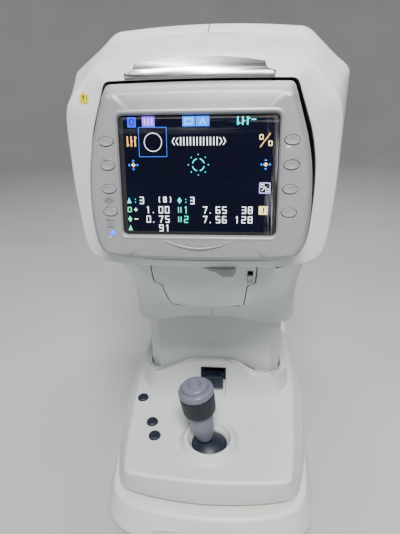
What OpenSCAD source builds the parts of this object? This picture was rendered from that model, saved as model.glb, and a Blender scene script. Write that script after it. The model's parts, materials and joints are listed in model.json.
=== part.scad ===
// Table-top eye measuring head on a joystick stage: base, cross carriage, stage, column, head.
// X right for the operator, +Y towards the patient, +Z up. Origin: bottom centre of the whole part.

/* [Head] */
// Height of the screen centre above the table
screen_z = 403; // [380:1:420]
// Forward position of the screen centre
screen_y = -228; // [-235:1:-220]
// Screen tilt back from upright
screen_tilt = 8; // [0:1:20]
// Screen opening width
screen_w = 115; // [90:1:120]
// Screen opening height
screen_h = 86; // [70:1:95]
// Soft key pitch
key_pitch = 16.8; // [14:0.1:20]
// Soft key distance from the centre line
key_x = 66.1; // [62:0.1:70]
// Key travel clearance around a key
key_gap = 0.4; // [0.3:0.1:1]
// Status lamp distance from the centre line
lamp_x = 65.5; // [60:0.5:68]
// Status lamp distance below the screen centre
lamp_drop = 41.6; // [38:0.1:44]
// Status lamp radius
lamp_r = 2; // [1.2:0.1:2.5]

/* [Stage] */
// Deck height above the table
deck_z = 82; // [70:1:95]
// Stage cover lower edge height
deck_low = 46.5; // [43:0.5:60]
// Joystick pivot height
pivot_z = 58; // [50:1:64]
// Joystick position from the centre
stick_y = -167; // [-180:1:-150]
// Joystick lean to the left at rest
stick_lean = 8; // [0:1:14]
// Dome radius under the stick
dome_r = 29; // [24:1:32]
// Deck button radius
button_r = 5.9; // [4:0.1:8]

/* [Base] */
// Base top height
base_top = 41; // [30:1:50]
// Base half width
base_half = 125; // [110:1:130]
// Wall thickness of the covers
wall = 2.6; // [2:0.1:4]
// Foot radius
foot_r = 14; // [8:1:20]

/* [Chin rest] */
// Chin cup top height
chin_z = 285; // [260:1:300]
// Chin rest distance from the centre
chin_y = 187; // [170:1:200]
// Face frame half width
frame_half = 116; // [100:1:120]

/* [Hidden] */
$fn = 64;
white = [0.86, 0.88, 0.86];
silver = [0.66, 0.67, 0.68];
navy = [0.16, 0.18, 0.24];
black = [0.06, 0.06, 0.07];
steel = [0.6, 0.61, 0.63];

// Mirror a half outline given from the low centre to the high centre
function both(h) = concat(h, [for (i = [len(h) - 1 : -1 : 0])
  if (h[i][0] > 0.01) [for (k = [0 : len(h[i]) - 1]) k == 0 ? -h[i][0] : h[i][k]]]);
function at_z(h, z) = [for (p = h) [p[0], p[1], z]];
function inset(h, t, c) = [for (p = h) [p[0] - sign(p[0]) * min(t, abs(p[0])), p[1] + (p[1] < c ? t : -t)]];
function mean(s) = [for (k = [0 : 2]) [for (i = 0, a = 0; i <= len(s); a = a + (i < len(s) ? s[i][k] : 0),
  i = i + 1) a][len(s)] / len(s)];
// Solid through closed sections of equal point count, each counter-clockwise seen from the last one
module loft(s, flip = false) {
  n = len(s[0]);
  m = len(s);
  pts = concat([for (q = s) for (p = q) p], [mean(s[0]), mean(s[m - 1])]);
  low = [for (i = [0 : n - 1]) [i, (i + 1) % n, m * n]];
  top = [for (i = [0 : n - 1]) [(m - 1) * n + (i + 1) % n, (m - 1) * n + i, m * n + 1]];
  side = [for (j = [0 : m - 2]) for (i = [0 : n - 1]) for (t = [0, 1]) let (a = j * n + i,
    b = j * n + (i + 1) % n) t == 0 ? [a, a + n, b + n] : [a, b + n, b]];
  f = concat(low, top, side);
  polyhedron(points = pts, faces = flip ? [for (q = f) [q[2], q[1], q[0]]] : f);
}
// Half outlines in plan, from the front centre to the rear centre
base_low = [[0, -247], [30, -246], [60, -241], [85, -234], [103, -224], [115, -211], [122, -192],
  [base_half, -165], [base_half, 213], [121, 233], [108, 245], [0, 245]];
base_high = [[0, -234], [30, -233], [60, -229], [83, -223], [98, -215], [107, -204], [112, -188],
  [117, -150], [120, 208], [116, 226], [104, 238], [0, 238]];
deck_bottom = [[0, -221], [45, -218], [75, -213], [92, -208], [101, -200], [106, -186], [112, -162],
  [118, -125], [122, -88], [124, -50], [124, 40], [118, 84], [104, 92], [0, 92]];
deck_mid = [[0, -222.5], [44, -220], [73, -216], [89, -212], [97, -205], [102, -188], [108, -162],
  [114, -125], [119, -88], [123, -50], [123, 40], [117, 83], [103, 90], [0, 90]];
deck_top = [[0, -222], [42, -220], [70, -217.5], [86, -215], [91, -210], [95, -190], [99, -162],
  [103, -125], [106, -88], [110, -50], [112, 40], [107, 80], [96, 86], [0, 86]];
// Half outlines of the column and neck in plan
column_out = [[0, -68], [73, -68], [87, -51], [87, 45], [73, 58], [0, 58]];
function neck(f, w1, yf, w2, y2, yb) = [[0, f], [52, f + 1], [w1, yf], [w2, y2], [w2 + 1, 0], [w2, yb - 22],
  [w1, yb], [0, yb]];
// Head sections in width and height for a given depth
head_0 = [[0, -208, 326], [60, -207.5, 326.5], [84, -206, 330], [93, -204.5, 337], [97, -203.5, 350],
  [99, -203, 385], [98, -203, 438], [94, -203, 449], [74, -203.5, 467], [58, -205, 469],
  [33, -207, 470], [0, -208, 470]];
head_1 = [[0, -205, 322], [60, -204.5, 322.5], [88, -202, 326], [98.5, -200, 332], [102, -199, 345],
  [105, -198, 385], [104.5, -198, 440], [101.6, -198, 452], [82.9, -191, 475.4], [64, -195.5, 479],
  [34, -198.5, 483.5], [0, -199.5, 485.2]];
function head_s(y, zb, wb, wl, ws, zc, wt, zt, zm) = [[0, y, zb], [wb * 0.6, y, zb], [wb, y, zb + 1.5],
  [wb + 9, y, zb + 7], [wl, y, zb + 16], [ws, y, zb + 60], [ws + 0.2, y, zc - 10], [ws, y, zc],
  [wt, y, zt], [wt * 0.69, y, zt + (zm - zt) * 0.5], [wt * 0.37, y, zt + (zm - zt) * 0.88], [0, y, zm]];
head_2 = head_s(-111, 290, 103, 119, 124.6, 475, 93, 497.6, 505.8);
head_3 = head_s(-84, 286, 103, 119, 124.8, 478, 90, 510.5, 515);
head_4 = head_s(50, 284, 101, 117, 122, 478, 88, 508, 513);
head_5 = head_s(92, 288, 96, 110, 114, 470, 82, 500, 506);
head_6 = head_s(118, 300, 80, 92, 98, 456, 70, 484, 490);
// Pull a head section inwards by a wall
function thin(s, t, dy) = [for (p = s) [p[0] - sign(p[0]) * min(t, abs(p[0])), p[1] + dy,
  p[2] + (p[2] < 400 ? t : -t)]];
module head_outer() {
  loft([for (s = [head_0, head_1, head_2, head_3, head_4, head_5, head_6]) both(s)], true);
}
module head_inner() {
  loft([for (s = [thin(head_0, wall, wall), thin(head_1, wall, wall), thin(head_2, wall, 0),
    thin(head_3, wall, 0), thin(head_4, wall, 0), thin(head_5, wall, 0), thin(head_6, wall, -wall)])
    both(s)], true);
}
module neck_outer(t = 0, ext = 0) {
  loft([for (s = [[192 - ext, -93 + t, 83.3 - t, -74 + t, 98.7 - t, -54, 78 - t],
    [214, -96 + t, 83.3 - t, -79 + t, 98.2 - t, -57, 80 - t],
    [238, -104 + t, 84 - t, -90 + t, 98.3 - t, -64, 84 - t],
    [262, -122 + t, 84.6 - t, -110 + t, 99.5 - t, -78, 90 - t],
    [286, -150 + t, 85.2 - t, -134 + t, 102.3 - t, -92, 94 - t],
    [306 + ext, -172 + t, 86 - t, -154 + t, 105 - t, -104, 94 - t]])
    at_z(both(neck(s[1], s[2], s[3], s[4], s[5], s[6])), s[0])]);
}
module pod_prism(t, w0, w1) {
  intersection() {
    translate([-90, 0, 0]) rotate([90, 0, 90]) linear_extrude(180)
      polygon([[-199 + t, 330], [-196 + t, 300], [-187 + t, 285 + t], [-172 + t * 0.7, 267 + t],
      [-158 + t * 0.5, 256 + t], [-140, 251 + t], [-116 - t, 251 + t], [-116 - t, 330]]);
    translate([0, 0, 0]) rotate([90, 0, 0]) linear_extrude(300) polygon([[-w0, 331], [-w0 + 2, 305],
      [-w1 - 6, 275], [-w1, 262], [-w1 + 8, 249], [w1 - 8, 249], [w1, 262], [w1 + 6, 275], [w0 - 2, 305],
      [w0, 331]]);
  }
}
module door_cut(g) {
  translate([0, -150, 0]) rotate([90, 0, 0]) linear_extrude(70) polygon([[-46.5 - g, 318],
    [-44.8 - g, 299.5 - g], [-37.5 - g, 299 - g], [-35 - g, 261 - g], [35 + g, 261 - g],
    [37.5 + g, 299 - g], [44.8 + g, 299.5 - g], [46.5 + g, 318]]);
}
function face_y(z) = z > 458 ? -219.5 + (z - 458) * 0.75 : z < 345 ? -235.4 + (345 - z) * 0.7 :
  screen_y - (screen_z - z) * tan(screen_tilt);
bezel_half = [[0, 336.3], [45, 337], [62, 338.3], [72, 341.5], [77.5, 347.5], [80.2, 355], [82.3, 370],
  [82.8, 384], [82.3, 400], [81, 414], [77.6, 430], [73, 445], [69.5, 456], [67, 465.4], [34, 466.2],
  [0, 466.5]];
gap_half = [[0, 328.8], [46, 329.4], [64, 330.8], [77, 334], [83, 340], [86, 352], [87.8, 383],
  [87.3, 403], [85.7, 417], [82.4, 432], [77.8, 444.5], [72.5, 459], [69.6, 467.4], [34, 468], [0, 468.2]];
function bez(t, d) = [for (p = bezel_half) let (z = p[1] + (p[1] < 400 ? t : -t)) [p[0] > 0 ? p[0] - t : 0,
  face_y(z) + d, z]];
function bez_flat(d) = [for (p = bezel_half) let (z = 400 + (p[1] - 400) * 0.8) [p[0] * 0.8, face_y(z) + d, z]];
module on_screen() {
  translate([0, screen_y, screen_z]) rotate([-screen_tilt, 0, 0]) children();
}
function oval(a, b) = [for (i = [0 : 47]) [a * cos(i * 7.5), b * sin(i * 7.5)]];
module key_at(side, row) {
  on_screen() translate([side * key_x, 0, (2.5 - row) * key_pitch]) rotate([90, 0, 0]) children();
}
module key(side, row) {
  color(silver) key_at(side, row) {
    translate([0, 0, -6.5]) linear_extrude(7.6) polygon(oval(5.4, 3.25));
    translate([0, 0, -8.4]) linear_extrude(2) polygon(oval(6.4, 4.3));
  }
}
module lean() {
  translate([0, stick_y, pivot_z]) rotate([0, -stick_lean, 0]) children();
}
module ring(r1, r0, h) {
  difference() {
    cylinder(r = r1, h = h);
    translate([0, 0, -1]) cylinder(r = r0, h = h + 2);
  }
}

module base_housing() color(white) {
  difference() {
    loft([at_z(both(inset(base_low, 2, 0)), 2.5), at_z(both(base_low), 8),
      at_z(both(base_high), base_top - 4), at_z(both(inset(base_high, 4, 0)), base_top)]);
    loft([at_z(both(inset(base_low, 5.5, 0)), 1), at_z(both(inset(base_low, 5.5, 0)), 8),
      at_z(both(inset(base_high, 4, 0)), base_top - 6), at_z(both(inset(base_high, 7, 0)), base_top - 2.4)]);
    translate([-66, -105, 20]) cube([132, 190, 40]);
    intersection() {
      translate([0, -262, -42]) rotate([-90, 0, 0]) cylinder(r = 70, h = 20.5, $fn = 120);
      translate([-80, -270, 9]) cube([160, 60, 40]);
    }
    translate([-84, 233, 11]) cube([28.6, 20, 21.2]);
    translate([-42.3, 233, 13]) cube([13.6, 20, 19.6]);
    translate([-44.2, 241.9, 22.8]) rotate([0, 90, 0]) cylinder(r = 1.55, h = 17.4);
    for (x = [30, 52, 74]) translate([x, 242, 15]) cube([14, 20, 12]);
    for (y = [-40 : 12 : 40]) translate([90, y, 15]) cube([60, 5, 12]);
  }
  difference() {
    translate([-60, -239.4, 8]) cube([120, 2.4, 24]);
    translate([-70, -250, 33]) rotate([-30, 0, 0]) cube([140, 30, 20]);
  }
}
module base_plate() color(steel) difference() {
  translate([0, 0, 5]) linear_extrude(2.5) polygon(both(inset(base_low, 7, 0)));
  for (x = [-95, 95]) for (y = [-190, 205]) translate([x, y, 4]) cylinder(r = 2.6, h = 5);
  for (y = [-100 : 14 : 100]) for (x = [-50, 50]) translate([x - 20, y, 4]) cube([40, 5, 5]);
}
module rubber_feet() color(black) for (x = [-95, 95]) for (y = [-190, 205]) translate([x, y, 0]) {
  cylinder(r1 = foot_r - 1, r2 = foot_r, h = 4.9);
  translate([0, 0, 4.8]) cylinder(r = 2.4, h = 2.4);
}
module rail_pair() color(steel) for (x = [-84, 84]) {
  translate([x - 10, -110, 7.6]) cube([20, 190, 6]);
  for (y = [-112.2, 78]) translate([x - 12, y, 7.6]) cube([24, 4, 22]);
}
module power_supply() color(steel) {
  translate([-60, 120, 7.7]) cube([120, 100, 3]);
  translate([-56, 124, 10.6]) cube([112, 92, 18]);
  for (i = [0 : 4]) translate([-46 + i * 20, 140, 28]) cylinder(r = 5, h = 6);
}
module inlet_socket() color(black) difference() {
  union() {
    translate([-83.7, 222, 11.3]) cube([28, 25, 20.6]);
    translate([-86.7, 245.2, 8.8]) cube([34, 1.8, 25.6]);
  }
  translate([-81.5, 226, 13.5]) cube([23.6, 25, 16.2]);
}
module power_switch() color(black) translate([-35.5, 241.9, 22.8]) {
  rotate([90, 0, 90]) rotate([0, 0, 8]) translate([0, 0, -6]) linear_extrude(12) polygon([[-5, -8], [3.3, -8.4],
    [4.6, -7.4], [2.6, 0], [4.6, 7.4], [3.3, 8.4], [-5, 8]]);
  rotate([0, 90, 0]) translate([0, 0, -8.2]) cylinder(r = 1.5, h = 16.4);
}
module chin_tower() color(white) difference() {
  union() {
    translate([-46, 152, base_top + 0.1]) cube([92, 76, 12]);
    translate([0, 0, base_top + 12]) linear_extrude(172) polygon([[-42, 160], [-34, 154], [34, 154],
      [42, 160], [42, 216], [34, 224], [-34, 224], [-42, 216]]);
  }
  translate([-20.6, chin_y - 13.6, 70]) cube([41.2, 27.2, 200]);
  translate([-30, 210, 80]) cube([60, 20, 100]);
}
module face_frame() color(white) difference() {
  union() {
    difference() {
      translate([0, 156, 0]) rotate([90, 0, 0]) linear_extrude(16) polygon([[-42.2, 120], [-52, 140],
        [-84, 200], [-110, 250], [-frame_half, 290], [-frame_half, 466], [-108, 484], [-92, 492],
        [92, 492], [108, 484], [frame_half, 466], [frame_half, 290], [110, 250], [84, 200], [52, 140],
        [42.2, 120]]);
      translate([0, 160, 0]) rotate([90, 0, 0]) linear_extrude(26) polygon([[-30, 226], [-58, 228],
        [-86, 256], [-99, 294], [-99, 458], [-92, 468], [92, 468], [99, 458], [99, 294], [86, 256],
        [58, 228], [30, 226]]);
    }
    for (s = [-1, 1]) translate([s * 47 - 5, 152, 90]) cube([10, 44, 50]);
  }
  translate([-42.2, 153.8, 60]) cube([84.4, 72, 165.3]);
  for (s = [-1, 1]) translate([s * 107 - 5, 138, 394]) cube([10, 2.6, 1.6]);
}
module forehead_pad() color(black) translate([0, 0, 470]) difference() {
  linear_extrude(20) polygon([[-78, 156.2], [78, 156.2], [80, 160], [60, 165], [30, 168], [0, 169],
    [-30, 168], [-60, 165], [-80, 160]]);
  translate([0, 236, -1]) cylinder(r = 71, h = 22, $fn = 128);
}
module chin_slider() color(steel) {
  translate([-20, chin_y - 13, 128]) cube([40, 26, 138]);
  translate([-26, chin_y - 18, 262]) cube([52, 36, 5]);
}
module chin_cup() color(white) difference() {
  union() {
    translate([0, chin_y, 267.2]) linear_extrude(6) polygon(oval(34, 24));
    translate([0, chin_y, 273]) linear_extrude(12) polygon(oval(38, 27));
  }
  translate([0, chin_y + 2, chin_z + 44]) sphere(r = 52, $fn = 96);
  translate([-20, chin_y + 8, chin_z - 5]) cube([40, 40, 20]);
}
module cross_shaft() color(steel) {
  translate([-76, -20, 26]) rotate([0, 90, 0]) cylinder(r = 5, h = 152);
  for (s = [-1, 1]) translate([s * 103, -20, 26]) rotate([0, s * 90, 0]) translate([0, 0, -31]) {
    cylinder(r = 4, h = 30);
    translate([0, 0, 28]) cylinder(r = 7, h = 3);
  }
}
module drive_rollers() color(steel) for (s = [-1, 1]) translate([s * 84, -20, 26]) rotate([0, 90, 0])
  translate([0, 0, -7]) difference() {
  union() {
    cylinder(r = 11.8, h = 14);
    for (i = [0 : 35]) rotate([0, 0, i * 10]) translate([11.4, -0.5, 1]) cube([0.7, 1, 12]);
  }
  translate([0, 0, -1]) cylinder(r = 4.05, h = 16);
}
module stage_chassis() color(steel) difference() {
  union() {
    translate([-62, -45, 42.5]) cube([124, 110, 3.5]);
    translate([-98, -200, 46]) cube([196, 285, 3]);
    translate([-30, -36, 15]) cube([60, 32, 28]);
    for (s = [-1, 1]) translate([-9, stick_y + s * 25 - 3, 48.9]) cube([18, 6, 15]);
  }
  translate([-40, -20, 26]) rotate([0, 90, 0]) cylinder(r = 5.05, h = 80);
  translate([0, stick_y, 40]) cylinder(r = 21.5, h = 9.5);
  for (s = [-1, 1]) translate([s * 98, -205, 40]) rotate([0, 0, s * 14]) cube([20, 60, 20], center = true);
  translate([0, -10, 38]) cylinder(r = 9, h = 14);
  translate([0, stick_y - 40, pivot_z]) rotate([-90, 0, 0]) cylinder(r = 2.55, h = 80);
}
collar = [[0, -91.2], [52, -90.4], [84, -82], [100.2, -59], [100.2, 50], [86, 72], [0, 72]];
collar_up = [[0, -83.2], [52, -82.6], [80.8, -77], [97.5, -56], [97.5, 48], [84, 69], [0, 69]];
arch = [[0, 84], [60, 84], [60, 109.6], [53, 112.2], [48.6, 117.2], [43, 122.6], [35.7, 126.6],
  [27, 128.2], [13, 128.8], [0, 128.9]];
// Depth of the leaning front wall at a height
function wall_y(z) = -91.4 + (z - deck_z) * 0.283;
module stage_cover() color(white) difference() {
  union() {
    difference() {
      loft([at_z(both(deck_bottom), deck_low), at_z(both(deck_mid), 60), at_z(both(deck_top), deck_z - 1.5),
        at_z(both(inset(deck_top, 1.5, -70)), deck_z)]);
      loft([at_z(both(inset(deck_bottom, wall, -70)), deck_low - 1),
        at_z(both(inset(deck_mid, wall, -70)), 60), at_z(both(inset(deck_top, wall, -70)), deck_z - wall)]);
    }
    difference() {
      union() {
        loft([at_z(both(collar), deck_z - 1), at_z(both(collar_up), 110)]);
        loft([[for (p = both(arch)) [p[0], wall_y(p[1]), p[1]]], [for (p = both(arch)) [p[0], -66, p[1]]]],
          true);
      }
      translate([0, 0, 70]) linear_extrude(80) polygon(both([[0, -70], [73.8, -70], [89.5, -51.5],
        [89.5, 46], [75, 61], [0, 61]]));
      translate([-17, -96, 101.7]) cube([33.4, 40, 20.1]);
      translate([-50, -84, deck_z - 4]) cube([100, 12.6, 20]);
      translate([15.9, wall_y(deck_z), deck_z]) rotate([-15.8, 0, 0]) translate([0, -2, 0.6])
        cube([0.5, 3, 20.6]);
    }
    translate([0, stick_y, deck_z - 1]) cylinder(r1 = 34, r2 = 30.5, h = 5);
    translate([0, stick_y, deck_z + 3.9]) cylinder(r1 = 30, r2 = 27.5, h = 4.6);
  }
  translate([0, stick_y, 70]) cylinder(r = 20.4, h = 12);
  translate([0, stick_y, 80.2]) cylinder(r1 = 20.4, r2 = 24.8, h = 10.4);
  translate([0, stick_y, 70]) cylinder(r = 33, h = 7);
  for (p = [[-65.3, -162.7], [-72.3, -141.2], [-93, -99.1]]) translate([p[0], p[1], 70]) {
    cylinder(r = button_r + 0.4, h = 20);
  }
  translate([0, 0, 60]) linear_extrude(30) polygon(both([[0, -68.5], [73, -68.5], [87.5, -51.4],
    [87.5, 45.4], [73.4, 58.4], [0, 58.4]]));
}
module column_cover() color(white) difference() {
  translate([0, 0, 49.2]) linear_extrude(186) polygon(both(column_out));
  translate([0, 0, 48]) linear_extrude(200) polygon(both([[0, -65.4], [72, -65.4], [84.4, -50],
    [84.4, 44], [72, 55.4], [0, 55.4]]));
  translate([-20, -72, 101]) cube([40, 8, 21]);
}
module column_frame() color(steel) difference() {
  union() {
    translate([-44, -34, 49.2]) cube([88, 50, 4]);
    translate([-40, -28, 53]) cube([80, 36, 150]);
    for (s = [-1, 1]) translate([s * 44 - 3, -28, 53]) cube([6, 40, 130]);
  }
  for (s = [-1, 1]) translate([s * 26, -10, 45]) cylinder(r = 7.05, h = 170);
  translate([0, -10, 40]) cylinder(r = 9, h = 180);
  translate([-16, -40, 70]) cube([32, 20, 110]);
}
module lift_motor() color(black) {
  translate([-21, 20, 49.3]) cube([42, 32, 42]);
  translate([0, 36, 91]) cylinder(r = 9, h = 6);
}
module lift_screw() color(steel) translate([0, -10, 0]) {
  translate([0, 0, 53.2]) cylinder(r = 5, h = 190);
  for (i = [0 : 24]) translate([0, 0, 100 + i * 4]) ring(6, 4.9, 2);
}
module lever_liner() color(navy) difference() {
  translate([-16.7, -79.3, 102]) cube([32.8, 6.7, 19.5]);
  translate([-15.1, -95, 103.4]) cube([29.6, 19.9, 16.7]);
  translate([-13, -80, 103.4]) cube([26, 20, 16.7]);
}
module lock_lever() color(navy) {
  translate([-12, -90, 103.9]) cube([24, 17.5, 6.5]);
  translate([-12.7, 0, 0]) rotate([90, 0, 90]) linear_extrude(25.8) polygon([[-89.6, 110.4], [-89.6, 115],
    [-91.2, 115.8], [-93, 115], [-94.2, 112], [-94.4, 104], [-94, 99.6], [-93, 98.6], [-91, 98.6],
    [-89.8, 100]]);
}
module deck_button(x, y) color(navy) translate([x, y, 0]) {
  translate([0, 0, 74]) cylinder(r = button_r, h = 9.2);
  translate([0, 0, 83.1]) cylinder(r1 = button_r, r2 = button_r - 1.4, h = 1.5);
  translate([0, 0, 72]) cylinder(r = button_r + 1.6, h = 3);
}
module deck_button_front() deck_button(-65.3, -162.7);
module deck_button_middle() deck_button(-72.3, -141.2);
module deck_button_rear() deck_button(-93, -99.1);
module gimbal_ring() color(steel) lean() {
  difference() {
    translate([0, 0, -4]) cylinder(r = 19, h = 8);
    translate([0, 0, -6]) cylinder(r = 14, h = 12);
    translate([-25, 0, 0]) rotate([0, 90, 0]) cylinder(r = 2.05, h = 50);
  }
  for (s = [-1, 1]) translate([0, s * 18.5, 0]) rotate([-s * 90, 0, 0]) cylinder(r = 2.5, h = 9);
}
module joystick_shaft() color([0.7, 0.6, 0.35]) lean() {
  translate([0, 0, -10]) cylinder(r = 3.5, h = 70);
  sphere(r = 8);
  translate([-18.4, 0, 0]) rotate([0, 90, 0]) cylinder(r = 2, h = 36.8);
}
module joystick_dome() color(navy) lean() difference() {
  sphere(r = dome_r, $fn = 96);
  sphere(r = dome_r - 1.6, $fn = 96);
  translate([-40, -40, -60]) cube([80, 80, 75]);
  cylinder(r = 3.53, h = 40);
}
module joystick_stem() color([0.33, 0.35, 0.42]) lean() difference() {
  rotate_extrude() polygon([[0, 29.6], [6.5, 29.6], [9.5, 32.5], [10.8, 38], [12.4, 46], [13.6, 58],
    [14.3, 70], [14.3, 72.6], [0, 72.6]]);
  cylinder(r = 3.53, h = 60.1);
}
module joystick_cap() color([0.33, 0.35, 0.42]) lean() difference() {
  rotate_extrude() polygon([[0, 72.8], [12, 72.8], [12, 96.2], [19.3, 96.2], [19.8, 97.4], [19.8, 100.4],
    [18.8, 102.8], [15.4, 104], [15, 106.4], [13.8, 107.8], [11, 108.4], [0, 108.6]]);
  translate([0, 0, 100.2]) cylinder(r = 6.9, h = 20);
}
module height_ring() color(black) lean() difference() {
  rotate_extrude() polygon([[12.05, 71.4], [17.4, 71.4], [18.4, 72.6], [19.6, 94.6], [19.2, 95.9],
    [12.05, 95.9]]);
  translate([0, 0, 70]) cylinder(r = 14.6, h = 2.9);
}
module start_button() color([0.36, 0.38, 0.45]) lean() {
  translate([0, 0, 102]) cylinder(r = 6.4, h = 6.4);
  translate([0, 0, 108.3]) cylinder(r1 = 6.4, r2 = 5.4, h = 0.8);
}
module head_front_cover() color(white) difference() {
  head_outer();
  head_inner();
  translate([-200, -110.9, 200]) cube([400, 400, 400]);
  translate([0, -180, 0]) rotate([90, 0, 0]) linear_extrude(60) polygon(both(gap_half));
  translate([-66.3, -196.3, 280]) cube([132.6, 90, 60]);
  plate_body(0.3);
}
module plate_body(g) {
  translate([0, -206.4, 470.3]) rotate([61, 0, 0]) translate([0, 0, -1 - g]) linear_extrude(1.8 + 2 * g)
    polygon([[-54 - g, -g], [54 + g, -g], [54.2 + g, 4 + g], [48 + g, 7 + g], [46 + g, 10 + g],
    [30 + g, 12 + g], [12, 13.4 + g], [-12, 13.4 + g], [-30 - g, 12 + g], [-46 - g, 10 + g],
    [-48 - g, 7 + g], [-54.2 - g, 4 + g]]);
}
module side_shell() difference() {
  union() {
    intersection() {
      head_outer();
      translate([-200, -110.6, 200]) cube([400, 400, 400]);
    }
    neck_outer();
  }
  head_inner();
  neck_outer(wall, 4);
  intersection() {
    loft([for (s = [head_0, head_1, head_2, head_3, head_4, head_5, head_6]) both(thin(s, -0.2, 0))], true);
    translate([-200, -300, 240]) cube([400, 189.4, 300]);
  }
  pod_prism(-0.3, 66.3, 48.3);
  translate([0, 90, 400]) rotate([-90, 0, 0]) cylinder(r = 62, h = 60);
  translate([0, -60, 0]) rotate([90, 0, 0]) linear_extrude(60) polygon([[-88, 180], [-88, 190.5], [-82, 192],
    [-48, 202.8], [-42, 206], [-24, 209], [0, 210.2], [24, 209], [42, 206], [48, 202.8], [82, 192],
    [88, 190.5], [88, 180]]);
}
module side_cover_left() color(white) intersection() {
  side_shell();
  translate([-200.1, -300, 100]) cube([200, 600, 500]);
}
module side_cover_right() color(white) intersection() {
  side_shell();
  translate([0.1, -300, 100]) cube([200, 600, 500]);
}
module printer_pod() color(white) difference() {
  pod_prism(0, 66, 48);
  pod_prism(2.4, 63.4, 46);
  translate([-100, -205, 318]) cube([200, 100, 30]);
  door_cut(0.4);
  translate([-60, -135, 270]) cube([120, 40, 60]);
  door_hinge(1.15, 34);
}
// Hinge barrel along the lower edge of the paper door
module door_hinge(r, w) translate([-w, -164, 261.2]) rotate([0, 90, 0]) cylinder(r = r, h = 2 * w);
module printer_door() color(white) difference() {
  union() {
    intersection() {
      difference() {
        pod_prism(0, 66, 48);
        pod_prism(2.4, 80, 80);
      }
      door_cut(0);
    }
    door_hinge(0.8, 33);
  }
  for (s = [-1, 1]) translate([s * 42 - 4.6, 0, 0]) rotate([90, 0, 90]) linear_extrude(9.2)
    polygon([[-198, 297.7], [-188, 305.6], [-188, 290], [-198, 290]]);
  translate([38.2, -205, 301.8]) cube([5, 30, 12.4]);
}
module door_latch() color(white) {
  translate([38.5, -200, 302.2]) cube([4.4, 5.4, 8.6]);
}
module bezel() color(silver) difference() {
  loft([[for (p = both(bez(0, 0))) [p[0], -203.4, p[2]]], both(bez(0, 4.6)), both(bez(2.6, 0.8)),
    both(bez(5, 0)), both(bez_flat(0))], false);
  loft([[for (p = both(bez(3, 0))) [p[0], -202, p[2]]], both(bez(3, 7)), both(bez(5, 5)),
    both(bez_flat(5))], false);
  on_screen() {
    translate([-screen_w / 2, -20, -screen_h / 2]) cube([screen_w, 40, screen_h]);
    translate([-lamp_x, 0, -lamp_drop]) rotate([90, 0, 0]) translate([0, 0, -20])
      cylinder(r = lamp_r + 0.1, h = 40);
  }
  for (s = [-1, 1]) for (r = [1 : 4]) key_at(s, r) {
    translate([0, 0, -20]) linear_extrude(40) polygon(oval(5.4 + key_gap, 3.25 + key_gap));
  }
}
module lcd_module() color(black) {
  gap_plate();
  lcd_stack();
}
module lcd_stack() on_screen() {
  translate([-screen_w / 2 + 0.4, 2.6, -screen_h / 2 + 0.4]) cube([screen_w - 0.8, 3, screen_h - 0.8]);
  translate([-58.4, 8.6, -44.4]) cube([116.8, 8, 88.8]);
  translate([-screen_w / 2 + 0.4, 5, -screen_h / 2 + 0.4]) cube([screen_w - 0.8, 4, screen_h - 0.8]);
  translate([-50, 15, -40]) cube([100, 18, 70]);
}
module status_lamp() color([0.2, 0.5, 1]) on_screen() translate([-lamp_x, 0, -lamp_drop]) rotate([90, 0, 0])
  translate([0, 0, -6]) cylinder(r = lamp_r, h = 6.4);
module name_plate() color(steel) plate_body(0);
module optical_bench() color(steel) {
  difference() {
    union() {
      translate([-80, -104, 290]) cube([160, 194, 6]);
      translate([-80, -104, 295.9]) cube([160, 8, 30]);
      translate([-40, -34, 276]) cube([80, 48, 14]);
      for (s = [-1, 1]) translate([s * 62 - 3, -80, 296]) cube([6, 150, 46]);
    }
    translate([0, -10, 270]) cylinder(r = 9, h = 40);
  }
  for (s = [-1, 1]) translate([s * 26, -10, 120]) cylinder(r = 7, h = 156.5);
}
module measuring_unit() color(black) {
  translate([-56, -84, 342.2]) cube([112, 150, 116]);
  translate([0, 65, 400]) rotate([-90, 0, 0]) cylinder(r = 48, h = 38);
  translate([-44, -130, 360]) cube([88, 46.5, 80]);
  translate([0, -20, 458]) cylinder(r = 24, h = 20);
}
module rear_panel() color(black) difference() {
  translate([0, 103.3, 400]) rotate([-90, 0, 0]) cylinder(r = 61.4, h = 14.4, $fn = 96);
  translate([0, 100, 400]) rotate([-90, 0, 0]) cylinder(r = 24.4, h = 30);
  for (s = [-1, 1]) translate([s * 40, 114, 400]) rotate([-90, 0, 0]) cylinder(r = 6, h = 8);
}
module nozzle() color(steel) difference() {
  translate([0, 103.3, 400]) rotate([-90, 0, 0]) rotate_extrude() polygon([[0, 0], [24, 0], [24, 16],
    [20, 21], [14, 24], [11, 33], [10, 34.6], [0, 34.6]]);
  translate([0, 128, 400]) rotate([-90, 0, 0]) cylinder(r = 8.6, h = 12);
  translate([0, 110, 400]) rotate([-90, 0, 0]) cylinder(r = 1.6, h = 30);
}
module window_glass() color([0.4, 0.5, 0.6]) difference() {
  translate([0, 134, 400]) rotate([-90, 0, 0]) cylinder(r = 8.6, h = 2);
  translate([0, 130, 400]) rotate([-90, 0, 0]) cylinder(r = 2.2, h = 10);
}
module gap_plate() translate([0, -191.5, 0]) rotate([90, 0, 0]) linear_extrude(2)
  polygon(both([for (p = gap_half) [p[0] > 0 ? p[0] + 2.6 : 0, p[1] + (p[1] < 400 ? -2 : 2.4)]]));
module main_board() color([0.1, 0.35, 0.2]) {
  translate([-72, -184, 345]) cube([144, 1.8, 105]);
  for (i = [0 : 3]) translate([-60 + i * 32, -190, 360 + (i % 2) * 40]) cube([20, 6.4, 20]);
}
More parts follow.
